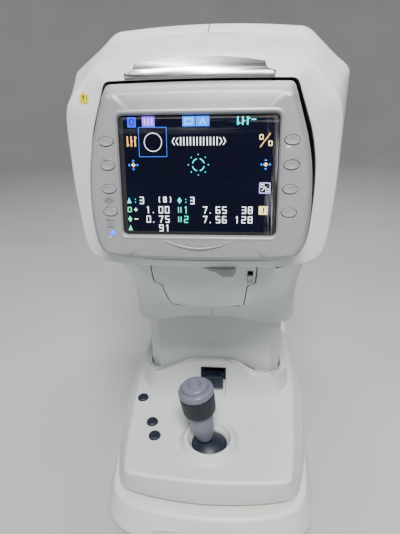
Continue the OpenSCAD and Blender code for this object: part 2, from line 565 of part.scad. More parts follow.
module printer_mech() color(black) {
  translate([-38, -178, 318.4]) cube([76, 30, 12]);
  for (s = [-1, 1]) translate([s * 36 - 2, -176, 286]) cube([4, 30, 32.6]);
  translate([-28.5, -212, 318.6]) cube([57, 36, 0.4]);
  translate([-37, -152, 290]) rotate([0, 90, 0]) cylinder(r = 5.94, h = 74);
}
module paper_roll() color([0.95, 0.95, 0.93]) translate([0, -152, 290]) rotate([0, 90, 0]) difference() {
  translate([0, 0, -28.8]) cylinder(r = 21.5, h = 57.6);
  translate([0, 0, -40]) cylinder(r = 6, h = 80);
}
module key_left_1() key(-1, 1);
module key_left_2() key(-1, 2);
module key_left_3() key(-1, 3);
module key_left_4() key(-1, 4);
module key_right_1() key(1, 1);
module key_right_2() key(1, 2);
module key_right_3() key(1, 3);
module key_right_4() key(1, 4);

base_housing();
base_plate();
rubber_feet();
rail_pair();
power_supply();
inlet_socket();
power_switch();
chin_tower();
face_frame();
forehead_pad();
chin_slider();
chin_cup();
cross_shaft();
drive_rollers();
stage_chassis();
stage_cover();
column_cover();
column_frame();
lift_motor();
lift_screw();
lever_liner();
lock_lever();
deck_button_front();
deck_button_middle();
deck_button_rear();
gimbal_ring();
joystick_shaft();
joystick_stem();
joystick_dome();
joystick_cap();
height_ring();
start_button();
head_front_cover();
side_cover_left();
side_cover_right();
printer_pod();
bezel();
lcd_module();
status_lamp();
name_plate();
optical_bench();
measuring_unit();
nozzle();
window_glass();
main_board();
printer_mech();
rear_panel();
printer_door();
door_latch();
paper_roll();
key_left_1();
key_left_2();
key_left_3();
key_left_4();
key_right_1();
key_right_2();
key_right_3();
key_right_4();
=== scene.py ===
import json
import math
import bmesh
import bpy
import numpy as np
from mathutils import Matrix, Vector


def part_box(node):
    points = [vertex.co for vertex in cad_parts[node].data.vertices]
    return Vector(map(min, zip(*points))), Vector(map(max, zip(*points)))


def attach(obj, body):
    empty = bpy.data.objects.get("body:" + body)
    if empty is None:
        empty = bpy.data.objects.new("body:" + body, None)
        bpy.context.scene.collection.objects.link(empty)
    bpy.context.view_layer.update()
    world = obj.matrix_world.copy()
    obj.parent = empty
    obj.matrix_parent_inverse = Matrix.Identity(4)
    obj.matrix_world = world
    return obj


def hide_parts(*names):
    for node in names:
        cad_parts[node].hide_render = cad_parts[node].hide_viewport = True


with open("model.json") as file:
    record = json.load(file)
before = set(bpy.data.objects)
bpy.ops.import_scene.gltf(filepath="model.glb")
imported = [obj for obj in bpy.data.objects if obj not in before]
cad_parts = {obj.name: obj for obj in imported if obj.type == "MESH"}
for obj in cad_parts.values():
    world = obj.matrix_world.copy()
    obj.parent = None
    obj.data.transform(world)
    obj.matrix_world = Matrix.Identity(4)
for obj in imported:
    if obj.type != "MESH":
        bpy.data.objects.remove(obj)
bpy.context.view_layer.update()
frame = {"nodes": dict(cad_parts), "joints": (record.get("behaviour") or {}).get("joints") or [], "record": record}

MM = 0.001
RECORD = frame["record"]
JOINTS = {j["name"]: j for j in frame["joints"]}
BODY = {n: b for b, ns in RECORD["behaviour"]["bodies"].items() for n in ns}
# depth at which two points of a mesh count as one, in metres
WELD = 2e-6
# points in an outline of the head, and the height of its middle
HEAD_COUNT, HEAD_Z = 400, 400.0
BOTH = (True, True)


# ---------------------------------------------------------------- materials
class Nodes:
    """A small builder for one node material."""

    def __init__(self, name):
        self.material = bpy.data.materials.new(name)
        self.material.use_nodes = True
        self.tree = self.material.node_tree
        self.shader = self.tree.nodes["Principled BSDF"]
        self.coord = self.add("ShaderNodeTexCoord").outputs["Object"]

    def add(self, kind, **values):
        node = self.tree.nodes.new(kind)
        for key, value in values.items():
            if hasattr(node, key):
                setattr(node, key, value)
        return node

    def link(self, a, b):
        self.tree.links.new(a, b)

    def noise(self, scale, detail=3.0, rough=0.55, stretch=None):
        node = self.add("ShaderNodeTexNoise")
        node.inputs["Scale"].default_value = scale
        node.inputs["Detail"].default_value = detail
        node.inputs["Roughness"].default_value = rough
        if stretch:
            mapping = self.add("ShaderNodeMapping")
            mapping.inputs["Scale"].default_value = stretch
            self.link(self.coord, mapping.inputs["Vector"])
            self.link(mapping.outputs["Vector"], node.inputs["Vector"])
        else:
            self.link(self.coord, node.inputs["Vector"])
        return node.outputs["Fac"]

    def span(self, value, low, high, to_low=0.0, to_high=1.0):
        node = self.add("ShaderNodeMapRange")
        node.clamp = True
        for key, v in (("From Min", low), ("From Max", high), ("To Min", to_low), ("To Max", to_high)):
            node.inputs[key].default_value = v
        self.link(value, node.inputs["Value"])
        return node.outputs["Result"]

    def mix(self, fac, a, b):
        node = self.add("ShaderNodeMix", data_type="RGBA")
        if isinstance(fac, float):
            node.inputs[0].default_value = fac
        else:
            self.link(fac, node.inputs[0])
        for slot, value in ((6, a), (7, b)):
            if isinstance(value, tuple):
                node.inputs[slot].default_value = (*value, 1.0)
            else:
                self.link(value, node.inputs[slot])
        return node.outputs[2]

    def math(self, operation, a, b):
        node = self.add("ShaderNodeMath", operation=operation)
        for i, value in enumerate((a, b)):
            if isinstance(value, (int, float)):
                node.inputs[i].default_value = value
            else:
                self.link(value, node.inputs[i])
        return node.outputs[0]

    def bump(self, height, distance, strength=1.0):
        node = self.add("ShaderNodeBump")
        node.inputs["Distance"].default_value = distance
        node.inputs["Strength"].default_value = strength
        self.link(height, node.inputs["Height"])
        self.link(node.outputs["Normal"], self.shader.inputs["Normal"])

    def to(self, output, name):
        self.link(output, self.shader.inputs[name])

    def tone(self, value, low, high, a, b, name="Base Color"):
        """Colour a where value is at low, colour b where it is at high."""
        self.to(self.mix(self.span(value, low, high), a, b), name)

    def rough(self, value, low, high, to_low, to_high):
        self.to(self.span(value, low, high, to_low, to_high), "Roughness")

    def fixed(self, **values):
        for key, value in values.items():
            socket = self.shader.inputs[key.replace("_", " ")]
            socket.default_value = value
        return self


def shade(color, factor):
    return tuple(min(1.0, c * factor) for c in color)


def plastic(name, color, rough, grain=1400.0, grain_depth=0.00004, mottle=0.05, dirt=0.0, warm=None,
            coat=0.0):
    """Moulded plastic: slow tone drift, spark-eroded grain, handling marks and a few specks."""
    m = Nodes(name)
    slow = m.span(m.noise(9.0, 4.0), 0.3, 0.7)
    tone = m.mix(slow, shade(color, 1 - mottle), shade(color, 1 + mottle))
    if warm:
        tone = m.mix(m.span(m.noise(5.0, 2.0, 0.4), 0.45, 0.75, 0.0, 0.55), tone, warm)
    specks = m.span(m.noise(310.0, 2.0, 0.5), 0.735, 0.775, 0.0, dirt)
    tone = m.mix(specks, tone, shade(color, 0.35))
    m.to(tone, "Base Color")
    smear = m.noise(38.0, 5.0, 0.65)
    m.rough(smear, 0.35, 0.68, rough - 0.07, rough + 0.09)
    fine = m.noise(grain, 2.0, 0.5)
    m.bump(m.math("ADD", fine, m.math("MULTIPLY", smear, 0.6)), grain_depth)
    if coat:
        m.fixed(Coat_Weight=coat, Coat_Roughness=0.18)
    return m.material


def metal(name, color, rough, stretch=(1, 1, 1), grain=900.0):
    """Bare or brushed metal with drawn grain along one axis and a light haze."""
    m = Nodes(name)
    m.fixed(Metallic=1.0)
    lines = m.noise(grain, 3.0, 0.6, stretch)
    haze = m.noise(24.0, 4.0, 0.6)
    m.tone(lines, 0.3, 0.7, shade(color, 0.86), shade(color, 1.1))
    drawn = m.span(lines, 0.3, 0.7, -0.05, 0.05)
    m.to(m.math("ADD", m.span(haze, 0.3, 0.7, rough - 0.06, rough + 0.08), drawn), "Roughness")
    m.bump(lines, 0.00003)
    return m.material


def metallic_paint():
    """Silver paint on the screen frame: fine flake, soft scuffs, faint orange peel."""
    m = Nodes("silver_paint")
    m.fixed(Metallic=0.3, Coat_Weight=0.08, Coat_Roughness=0.3)
    flake = m.noise(2600.0, 1.0, 0.5)
    slow = m.noise(12.0, 4.0, 0.6)
    base = m.mix(m.span(flake, 0.35, 0.65), (0.28, 0.285, 0.295), (0.43, 0.435, 0.445))
    base = m.mix(m.span(slow, 0.4, 0.72, 0.0, 0.35), base, (0.32, 0.325, 0.335))
    m.to(base, "Base Color")
    m.rough(m.noise(46.0, 5.0, 0.7), 0.32, 0.7, 0.38, 0.50)
    m.bump(m.math("ADD", flake, m.math("MULTIPLY", m.noise(160.0, 2.0), 1.6)), 0.00003)
    return m.material


def emitter(name, color, strength, glow=None):
    m = Nodes(name)
    m.fixed(Roughness=0.3, Emission_Strength=strength)
    ripple = m.span(m.noise(700.0, 1.0), 0.3, 0.7)
    m.to(m.mix(ripple, shade(color, 0.8), color), "Base Color")
    m.to(m.mix(ripple, shade(color, 0.88), glow or color), "Emission Color")
    return m.material


def screen_face():
    """Dark panel: bluish black with a faint backlight bleed and cell grid."""
    m = Nodes("screen_face")
    m.fixed(Roughness=0.3, Emission_Strength=1.0, Specular_IOR_Level=0.04)
    bleed = m.span(m.noise(14.0, 3.0), 0.35, 0.7)
    m.to(m.mix(bleed, (0.001, 0.0012, 0.004), (0.002, 0.0024, 0.008)), "Base Color")
    m.to(m.mix(bleed, (0.0006, 0.0012, 0.008), (0.0012, 0.0024, 0.014)), "Emission Color")
    m.bump(m.noise(3500.0, 1.0), 0.00001)
    return m.material


def film():
    """Clear film, all but invisible, wrinkled in vertical streaks near its right edge and a little along the top;
    pale grey painted into its colour and opacity along the streaks is painted sheen from the wrinkles.
    """
    m = Nodes("screen_film")
    m.fixed(IOR=1.45)
    split = m.add("ShaderNodeSeparateXYZ")
    m.link(m.coord, split.inputs["Vector"])
    # painted sheen: pale grey colour and opacity in streaks, strongest at the right edge and along the top, for
    # light caught by the wrinkles
    upright_streak_sheen = m.span(m.noise(150.0, 4.0, 0.65, (3.0, 1.0, 0.10)), 0.5, 0.64, 0.0, 0.42)
    level_streak_sheen = m.span(m.noise(110.0, 4.0, 0.65, (0.12, 1.0, 3.0)), 0.52, 0.68, 0.0, 0.22)
    right = m.math("MULTIPLY", m.span(split.outputs["X"], 0.0475, 0.0535), upright_streak_sheen)
    top = m.math("MULTIPLY", m.span(split.outputs["Z"], 0.432, 0.442), level_streak_sheen)
    m.to(m.mix(upright_streak_sheen, (0.5, 0.52, 0.55), (0.8, 0.82, 0.85)), "Base Color")
    m.rough(upright_streak_sheen, 0.0, 0.4, 0.14, 0.3)
    m.to(m.math("ADD", m.math("ADD", right, top), 0.005), "Alpha")
    m.bump(upright_streak_sheen, 0.0006)
    return m.material


def optical_glass():
    m = Nodes("optical_glass")
    m.fixed(IOR=1.5, Transmission_Weight=0.9)
    tint = (0.55, 0.65, 0.72)
    m.tone(m.noise(20.0, 3.0), 0.3, 0.7, shade(tint, 0.9), tint)
    m.rough(m.noise(60.0, 4.0), 0.4, 0.7, 0.03, 0.08)
    return m.material


def paper_stock():
    m = Nodes("thermal_paper")
    fibre = m.noise(420.0, 5.0, 0.7)
    m.tone(fibre, 0.35, 0.7, (0.86, 0.86, 0.85), (0.94, 0.94, 0.935))
    m.rough(fibre, 0.3, 0.7, 0.55, 0.72)
    m.bump(fibre, 0.00008)
    return m.material


def circuit_board():
    m = Nodes("circuit_board")
    tracks = m.noise(260.0, 0.0, 0.0, (1.0, 1.0, 3.0))
    m.tone(tracks, 0.48, 0.52, (0.015, 0.12, 0.05), (0.03, 0.20, 0.08))
    m.rough(tracks, 0.4, 0.6, 0.35, 0.5)
    m.bump(tracks, 0.00005)
    return m.material


RUBBER = dict(grain=700.0, grain_depth=0.00009, mottle=0.16)
PLASTICS = {
    "white_plastic": ((0.66, 0.69, 0.685), 0.40, dict(mottle=0.025, dirt=0.18)),
    "base_plastic": ((0.72, 0.725, 0.69), 0.42, dict(mottle=0.03, dirt=0.22, warm=(0.74, 0.72, 0.655))),
    "navy_plastic": ((0.011, 0.016, 0.031), 0.46, dict(mottle=0.14, grain_depth=0.00006)),
    "grey_plastic": ((0.15, 0.158, 0.21), 0.36, dict(mottle=0.08, coat=0.12)),
    "black_plastic": ((0.016, 0.016, 0.018), 0.45, dict(mottle=0.2)),
    "soft_grey": ((0.20, 0.21, 0.22), 0.72, RUBBER),
    "rubber": ((0.014, 0.014, 0.016), 0.72, RUBBER),
    "band": ((0.006, 0.008, 0.015), 0.5, dict(mottle=0.16, grain_depth=0.00006)),
    # near-black painted shade: seam walls, open rims and the gap behind the screen frame take it where they are
    # only in shade; also the screen panel's own black border
    "gap_black": ((0.010, 0.010, 0.012), 0.6, dict(mottle=0.2)),
    "sticker_yellow": ((0.72, 0.62, 0.0), 0.38, dict(dirt=0.1, grain_depth=0.00001)),
    "ink": ((0.03, 0.03, 0.035), 0.5, dict(mottle=0.1, grain_depth=0.00001)),
    "print_grey": ((0.10, 0.105, 0.11), 0.5, dict(mottle=0.1, grain_depth=0.00001)),
}
METALS = {
    "plate_metal": ((0.55, 0.56, 0.56), 0.30, (0.02, 1.0, 1.0), 1500.0),
    "steel": ((0.48, 0.48, 0.49), 0.36),
    "aluminium": ((0.62, 0.62, 0.63), 0.42, (1.0, 0.05, 1.0)),
    "brass": ((0.55, 0.40, 0.18), 0.33),
}
MATS = {name: plastic(name, color, rough, **values) for name, (color, rough, values) in PLASTICS.items()}
MATS.update({name: metal(name, *values) for name, values in METALS.items()})
MATS.update(silver_plastic=metallic_paint(), glass=optical_glass(), board=circuit_board(),
            paper=paper_stock(), screen_face=screen_face(), film=film(),
            lamp_lens=emitter("lamp_lens", (0.005, 0.08, 0.9), 3.0, (0.004, 0.12, 1.0)))
# screen colours, each with the strength of its light
TINTS = {"white": (0.86, 0.90, 0.95, 1.6), "cyan": (0.02, 0.70, 0.80, 1.5), "teal": (0.03, 0.72, 0.50, 1.4),
         "green": (0.08, 0.70, 0.34, 1.4), "blue": (0.004, 0.035, 0.85, 1.6), "azure": (0.02, 0.16, 1.0, 1.5),
         "violet": (0.16, 0.08, 0.80, 1.5), "lilac": (0.55, 0.40, 0.95, 1.4),
         "orange": (0.90, 0.48, 0.14, 1.3), "amber": (0.95, 0.78, 0.32, 1.3),
         "dark": (0.002, 0.004, 0.03, 1.0)}
for tint_name, (*rgb, power) in TINTS.items():
    MATS["ui_" + tint_name] = emitter("ui_" + tint_name, tuple(rgb), power)


# ---------------------------------------------------------------- mesh tools
def p3(points):
    return np.array(points, float)


def mirrored(points):
    """Closed outline from the right half, given from the first centre point to the last."""
    right = p3(points)
    left = right[::-1][right[::-1][:, 0] > 0.01].copy()
    left[:, 0] *= -1
    return np.vstack([right, left])


def rounded(points, radii=3.0, n=5, closed=True):
    """Each corner becomes a short curve that starts radius before it and ends radius after it."""
    pts = p3(points)
    m = len(pts)
    if np.isscalar(radii):
        radii = [radii] * m
    out = []
    for i in range(m):
        if not closed and i in (0, m - 1):
            out.append(pts[i])
            continue
        before, after = pts[i - 1] - pts[i], pts[(i + 1) % m] - pts[i]
        a = pts[i] + before * min(radii[i] / max(np.linalg.norm(before), 1e-9), 0.48)
        b = pts[i] + after * min(radii[i] / max(np.linalg.norm(after), 1e-9), 0.48)
        for t in np.linspace(0, 1, n + 1):
            out.append((1 - t) ** 2 * a + 2 * t * (1 - t) * pts[i] + t * t * b)
    return np.array(out)


def both_halves(points, radii, n=5):
    """Closed, rounded outline from its right half and that half's corner radii."""
    keep = [r for p, r in zip(points[::-1], radii[::-1]) if p[0] > 0.01]
    return rounded(mirrored(points), list(radii) + keep, n)


def dense(points, step=1.5, closed=True):
    """The outline with extra points about one step apart."""
    pts = p3(points)
    ends = np.vstack([pts[1:], pts[:1]]) if closed else pts[1:]
    out = []
    for a, b in zip(pts, ends):
        k = max(1, int(np.linalg.norm(b - a) / step))
        out += [a + (b - a) * i / k for i in range(k)]
    if not closed:
        out.append(pts[-1])
    return np.array(out)


def around(points, count=HEAD_COUNT, centre=(0.0, HEAD_Z), axes=(0, 2)):
    """Resamples a closed outline at equal angles about a centre, ready to be skinned with others."""
    pts = dense(points)
    u, v = pts[:, axes[0]] - centre[0], pts[:, axes[1]] - centre[1]
    angle = np.unwrap(np.arctan2(v, u))
    if angle[-1] < angle[0]:
        pts, angle = pts[::-1], angle[::-1]
    pts, angle = np.vstack([pts, pts[:1]]), np.append(angle, angle[0] + 2 * math.pi)
    angle = np.maximum.accumulate(angle)
    wanted = np.linspace(-math.pi / 2, 1.5 * math.pi, count, endpoint=False)
    target = angle[0] + (wanted - angle[0]) % (2 * math.pi)
    return np.column_stack([np.interp(target, angle, pts[:, k]) for k in range(3)])


def soften(rings, radii, n=4):
    """Rounds a skin along its length: ring i becomes n + 1 rings on a curve of radius radii[i], if not 0."""
    out = []
    for i, ring in enumerate(rings):
        r = radii[i]
        if not r or i in (0, len(rings) - 1):
            out.append(ring)
            continue
        before, after = rings[i - 1] - ring, rings[i + 1] - ring
        lb = np.maximum(np.linalg.norm(before, axis=1, keepdims=True), 1e-9)
        la = np.maximum(np.linalg.norm(after, axis=1, keepdims=True), 1e-9)
        a, b = ring + before * np.minimum(r / lb, 0.48), ring + after * np.minimum(r / la, 0.48)
        for t in np.linspace(0, 1, n + 1):
            out.append((1 - t) ** 2 * a + 2 * t * (1 - t) * ring + t * t * b)
    return out


def skin_faces(rows, count, closed_u=True, closed_v=False):
    faces = []
    for j in range(rows if closed_v else rows - 1):
        a, b = j * count, ((j + 1) % rows) * count
        for i in range(count if closed_u else count - 1):
            k = (i + 1) % count
            faces.append((a + i, a + k, b + k, b + i))
    return faces


def smooth_shading(obj, angle):
    for polygon in obj.data.polygons:
        polygon.use_smooth = True
    obj.data.set_sharp_from_angle(angle=math.radians(angle))


def linked(name, data):
    obj = bpy.data.objects.new(name, data)
    bpy.context.scene.collection.objects.link(obj)
    return obj


def from_bmesh(name, bm, materials):
    """A mesh object from a bmesh, which is then freed, and a list of materials."""
    mesh = bpy.data.meshes.new(name)
    bm.to_mesh(mesh)
    bm.free()
    for m in materials:
        mesh.materials.append(m)
    return linked(name, mesh)


def make(name, verts, faces, materials, angle):
    """A mesh object from millimetre points."""
    mesh = bpy.data.meshes.new(name)
    mesh.from_pydata((np.asarray(verts, float) * MM).tolist(), [], faces)
    bm = bmesh.new()
    bm.from_mesh(mesh)
    bmesh.ops.remove_doubles(bm, verts=bm.verts, dist=WELD)
    bmesh.ops.dissolve_degenerate(bm, edges=bm.edges, dist=WELD / 2)
    bmesh.ops.recalc_face_normals(bm, faces=bm.faces)
    bpy.data.meshes.remove(mesh)
    keys = [materials] if isinstance(materials, str) else materials
    obj = from_bmesh(name, bm, [MATS[key] for key in keys])
    smooth_shading(obj, angle)
    return obj


def skin(name, rings, materials="white_plastic", closed_v=False, caps=(False, False), angle=35,
         closed_u=True):
    """A surface through rings of equal count; caps close its first and last ring."""
    count = len(rings[0])
    faces = skin_faces(len(rings), count, closed_u, closed_v)
    if caps[0]:
        faces.append(tuple(range(count))[::-1])
    if caps[1]:
        faces.append(tuple(range((len(rings) - 1) * count, len(rings) * count)))
    return make(name, np.vstack(rings), faces, materials, angle)


def lathe(name, profile, materials="white_plastic", place=None, seg=96, angle=35, closed=False):
    """Turns a profile about Z, then places it; a row is (radius, height) or (two half-axes, height)."""
    turn = np.linspace(0, 2 * math.pi, seg, endpoint=False)
    rings = [np.column_stack([p[0] * np.cos(turn), p[-2] * np.sin(turn), np.full(seg, p[-1])])
             for p in profile]
    if place is not None:
        rings = [moved(r, place) for r in rings]
    return skin(name, rings, materials, closed_v=closed, angle=angle)


def moved(points, matrix):
    m = np.array(matrix, float)
    return np.asarray(points, float) @ m[:3, :3].T + m[:3, 3]


def at(x, y, z, rx=0.0, ry=0.0):
    turn = Matrix.Rotation(math.radians(ry), 4, "Y") @ Matrix.Rotation(math.radians(rx), 4, "X")
    return Matrix.Translation((x, y, z)) @ turn


# turns the height of a prism or a lathe towards the front
FORWARD = at(0, 0, 0, rx=90)


def prism(name, outline, low, high, materials, place=None, bevel=0.0):
    """A straight extrusion of an (x, y) outline from low to high, its edges rounded by bevel."""
    pts = np.column_stack([p3(outline), np.full(len(outline), low)])
    top = pts.copy()
    top[:, 2] = high
    if place is not None:
        pts, top = moved(pts, place), moved(top, place)
    obj = skin(name, [pts, top], materials, caps=BOTH)
    if bevel:
        bevelled(obj, bevel)
    return obj


def block(name, low, high, materials="white_plastic", bevel=0.0, place=None):
    (x0, y0, z0), (x1, y1, z1) = low, high
    return prism(name, [(x0, y0), (x1, y0), (x1, y1), (x0, y1)], z0, z1, materials, place, bevel)


def bevelled(obj, width, segments=3, angle=32.0, weld=False):
    if weld:
        obj.modifiers.new("weld", "WELD").merge_threshold = WELD
    m = obj.modifiers.new("edges", "BEVEL")
    m.width, m.segments = width * MM, segments
    m.limit_method, m.angle_limit = "ANGLE", math.radians(angle)
    m.use_clamp_overlap = True
    m.miter_outer = "MITER_ARC"
    w = obj.modifiers.new("normals", "WEIGHTED_NORMAL")
    w.weight, w.keep_sharp = 60, False
    return obj


def solid(obj, thickness, offset=-1.0, rim=0):
    """Gives a skin a wall; rim shifts the material slot of the faces along its open edges."""
    m = obj.modifiers.new("wall", "SOLIDIFY")
    m.thickness, m.offset = thickness * MM, offset
    m.use_even_offset = True
    m.thickness_clamp = 1.0
    m.material_offset_rim = rim
    return obj


def baked(obj, angle=35):
    """Applies the modifiers."""
    dg = bpy.context.evaluated_depsgraph_get()
    mesh = bpy.data.meshes.new_from_object(obj.evaluated_get(dg))
    obj.modifiers.clear()
    obj.data = mesh
    smooth_shading(obj, angle)
    return obj


def carve(obj, cutters, operation="DIFFERENCE", angle=35):
    """Exact boolean with each cutter, which leaves its material on the cut and is then removed."""
    for cutter in cutters:
        m = obj.modifiers.new("cut", "BOOLEAN")
        m.operation, m.object, m.solver = operation, cutter, "EXACT"
        m.material_mode = "TRANSFER"
    baked(obj, angle)
    for cutter in cutters:
        bpy.data.objects.remove(cutter)
    return obj


def half_of(obj, name, side, gap):
    """A copy of obj cut at x = side * gap, keeping that side."""
    bm = bmesh.new()
    bm.from_mesh(obj.data)
    bmesh.ops.bisect_plane(bm, geom=bm.verts[:] + bm.edges[:] + bm.faces[:], plane_co=(side * gap * MM, 0, 0),
                           plane_no=(side, 0, 0), clear_inner=True, dist=1e-7)
    part = from_bmesh(name, bm, obj.data.materials)
    smooth_shading(part, 35)
    return part


def joined(name, parts, angle):
    """One object from several, each with its modifiers applied."""
    for part in parts:
        if part.modifiers:
            baked(part)
    slots = []
    for part in parts:
        for m in part.data.materials:
            if m not in slots:
                slots.append(m)
    bm = bmesh.new()
    for part in parts:
        first = len(bm.faces)
        bm.from_mesh(part.data)
        bm.faces.ensure_lookup_table()
        names = [slots.index(m) for m in part.data.materials]
        for face in bm.faces[first:]:
            face.material_index = names[face.material_index]
    for part in parts:
        bpy.data.objects.remove(part)
    obj = from_bmesh(name, bm, slots)
    smooth_shading(obj, angle)
    return obj


def copy_of(obj):
    return linked(obj.name, obj.data.copy())


def place(obj, body, slot, stands_for=None):
    """Hands a piece to its body and hides the CAD node it is shown for; slot is not used."""
    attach(obj, body)
    if stands_for:
        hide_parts(stands_for)


def mm_box(node):
    """Low and high corner of a CAD node in millimetres."""
    low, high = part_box(node)
    return np.array(low) / MM, np.array(high) / MM


# ---------------------------------------------------------------- head outlines
SCREEN = (0.0, -228.0, 403.0)
TILT = 8.0
SCREEN_W, SCREEN_H = 115.0, 86.0
KEY_X, KEY_PITCH = 66.1, 16.8
ON_SCREEN = at(*SCREEN, rx=-TILT)
# the sloping bands above and below the flat part of the frame's face: start height, start depth, slope
UPPER_BAND, LOWER_BAND = (458, -219.5, 0.75), (345, -235.4, 0.7)


def face_y(z):
    """Depth of the screen frame's face at a height."""
    z = np.asarray(z, float)
    flat = SCREEN[1] - (SCREEN[2] - z) * math.tan(math.radians(TILT))
    (top, top_y, top_slope), (low, low_y, low_slope) = UPPER_BAND, LOWER_BAND
    below = np.where(z < low, low_y + (low - z) * low_slope, flat)
    return np.where(z > top, top_y + (z - top) * top_slope, below)


# right halves as (x, y, z): the opening round the screen frame, and the front cover's outer edge
GAP = [(0, -207.6, 328.8), (46, -207.4, 329.4), (64, -206.6, 330.8), (77, -205.6, 334), (83, -204.8, 340),
       (86, -204.2, 352), (87.8, -203.6, 383), (87.3, -203.4, 403), (85.7, -203.4, 417), (82.4, -203.5, 432),
       (77.8, -203.7, 444.5), (72.5, -204, 459), (69.6, -204.2, 467.4), (34, -206.3, 468), (0, -206.9, 468.2)]
FRONT = [(0, -205, 322), (67, -204.5, 322.8), (88.4, -202.4, 326), (98.4, -200.3, 332), (101.8, -199, 343.5),
         (105, -198, 385), (104.6, -198, 440), (101.6, -199, 452), (82.9, -191.5, 475.4), (64, -195.5, 478.9),
         (34, -198.5, 483.6), (0, -199.5, 485.3)]


def depth_ring(y, bottom, w_bottom, w_low, w_side, z_side, w_top, z_top, z_mid):
    return [(0, y, bottom), (w_bottom * 0.6, y, bottom), (w_bottom, y, bottom + 1.5),
            (w_bottom + 9, y, bottom + 7), (w_low, y, bottom + 16), (w_side, y, bottom + 60),
            (w_side + 0.2, y, z_side - 10), (w_side, y, z_side), (w_top, y, z_top),
            (w_top * 0.69, y, z_top + (z_mid - z_top) * 0.5),
            (w_top * 0.37, y, z_top + (z_mid - z_top) * 0.86), (0, y, z_mid)]


def inward(points, t):
    """Moves an outline in x-z towards its middle by t."""
    pts = p3(points)
    out = pts.copy()
    out[:, 0] -= np.sign(pts[:, 0]) * np.minimum(t, np.abs(pts[:, 0]))
    out[:, 2] += np.where(pts[:, 2] < HEAD_Z, t, -t)
    return out


def ring_of(points, radii):
    return around(both_halves(points, radii))


GAP_R = [10, 14, 12, 8, 8, 12, 14, 10, 10, 10, 10, 8, 4, 14, 14]
FRONT_R = [10, 12, 6, 6, 12, 20, 14, 5, 5, 12, 18, 18]
RING_R = [10, 20, 8, 8, 10, 24, 14, 7, 7, 14, 18, 18]
HEAD_RINGS = [depth_ring(-111, 290, 103, 119, 124.6, 475, 93, 497.6, 505.8),
              depth_ring(-84, 286, 103, 119, 124.8, 478, 90, 510.5, 514.9),
              depth_ring(50, 284, 101, 117, 122, 478, 88, 508, 513),
              depth_ring(92, 288, 96, 110, 114, 470, 82, 500, 506),
              depth_ring(117.5, 300, 80, 92, 98, 456, 70, 484, 490)]


def at_depth(ring, y):
    out = ring.copy()
    out[:, 1] = y
    return out


# ---------------------------------------------------------------- head shells
# width of the flange that closes a shell at the seam between front and rear
SEAM_LIP = 3.2


def front_cover():
    gap, front = ring_of(GAP, GAP_R), ring_of(FRONT, FRONT_R)
    crease = at_depth(ring_of(HEAD_RINGS[0], RING_R), -111.3)
    lip = around(inward(crease, SEAM_LIP))
    mid = front * 0.5 + gap * 0.5
    rings = soften([at_depth(gap, -190.5), gap, mid, front, crease, lip], [0, 1.3, 0, 1.8, 1.0, 0])
    cover = skin("head_front_shell", rings, angle=50)
    solid(cover, 2.2)
    place(cover, "head", "white_plastic", "head_front_cover")


def circle_ring(radius, y):
    a = np.linspace(-math.pi / 2, 1.5 * math.pi, HEAD_COUNT, endpoint=False)
    return np.column_stack([radius * np.cos(a), np.full(HEAD_COUNT, y), HEAD_Z + radius * np.sin(a)])


NECK_Y = -8.0
# height; depth at the middle; half-width and depth of the front corner, then of the side corner; rear
NECK = [(189.6, -92.5, 83.3, -73.5, 98.7, -53.8, 78), (203, -94, 83.3, -75.6, 98.4, -55, 79),
        (214, -96, 83.3, -78.6, 98.2, -57, 80), (231, -101, 83.7, -86, 98.2, -61.5, 82.4),
        (246, -109, 84.3, -96, 98.6, -68, 86), (262, -122, 84.6, -110, 99.5, -78, 90),
        (276, -136.5, 84.9, -124, 101, -86, 92), (290, -153, 85.4, -139, 102.8, -94, 94),
        (306, -172, 86, -154, 105, -104, 94)]


def neck_rings():
    rings = []
    for z, y0, w1, y1, w2, y2, rear in NECK:
        half = [(0, y0, z), (52, y0 + 1, z), (w1, y1, z), (w2, y2, z), (w2 + 1, 0, z), (w2, rear - 22, z),
                (w1, rear, z), (0, rear, z)]
        rings.append(around(both_halves(half, [20, 30, 3, 3, 20, 10, 10, 10], 6), 360, (0.0, NECK_Y), (0, 1)))
    # a spline through the rows of the table keeps the flare smooth
    stack = np.array(rings)
    heights = stack[:, :, 2].mean(1)
    fine = np.linspace(heights[0], heights[-1], 34)
    out = []
    for z in fine:
        j = int(np.clip(np.searchsorted(heights, z) - 1, 0, len(heights) - 2))
        t = (z - heights[j]) / (heights[j + 1] - heights[j])
        a, b = stack[max(j - 1, 0)], stack[min(j + 2, len(stack) - 1)]
        p, q = stack[j], stack[j + 1]
        square, cube = 2 * a - 5 * p + 4 * q - b, 3 * p - a - 3 * q + b
        ring = 0.5 * (2 * p + (q - a) * t + square * t ** 2 + cube * t ** 3)
        ring[:, 2] = z
        out.append(ring)
    lip = out[0].copy()
    lip[:, 0] *= 0.975
    lip[:, 1] = NECK_Y + (lip[:, 1] - NECK_Y) * 0.97
    return [lip] + out


# the neck's lower edge, which clears the stage's arch
ARCH_LOW = [(-88, 180), (-88, 190.5), (-82, 192), (-51, 202), (-47.8, 202.9), (-43.5, 205.2), (-36, 207.4),
            (-24, 209), (0, 210.2), (24, 209), (36, 207.4), (43.5, 205.2), (47.8, 202.9), (51, 202),
            (82, 192), (88, 190.5), (88, 180)]


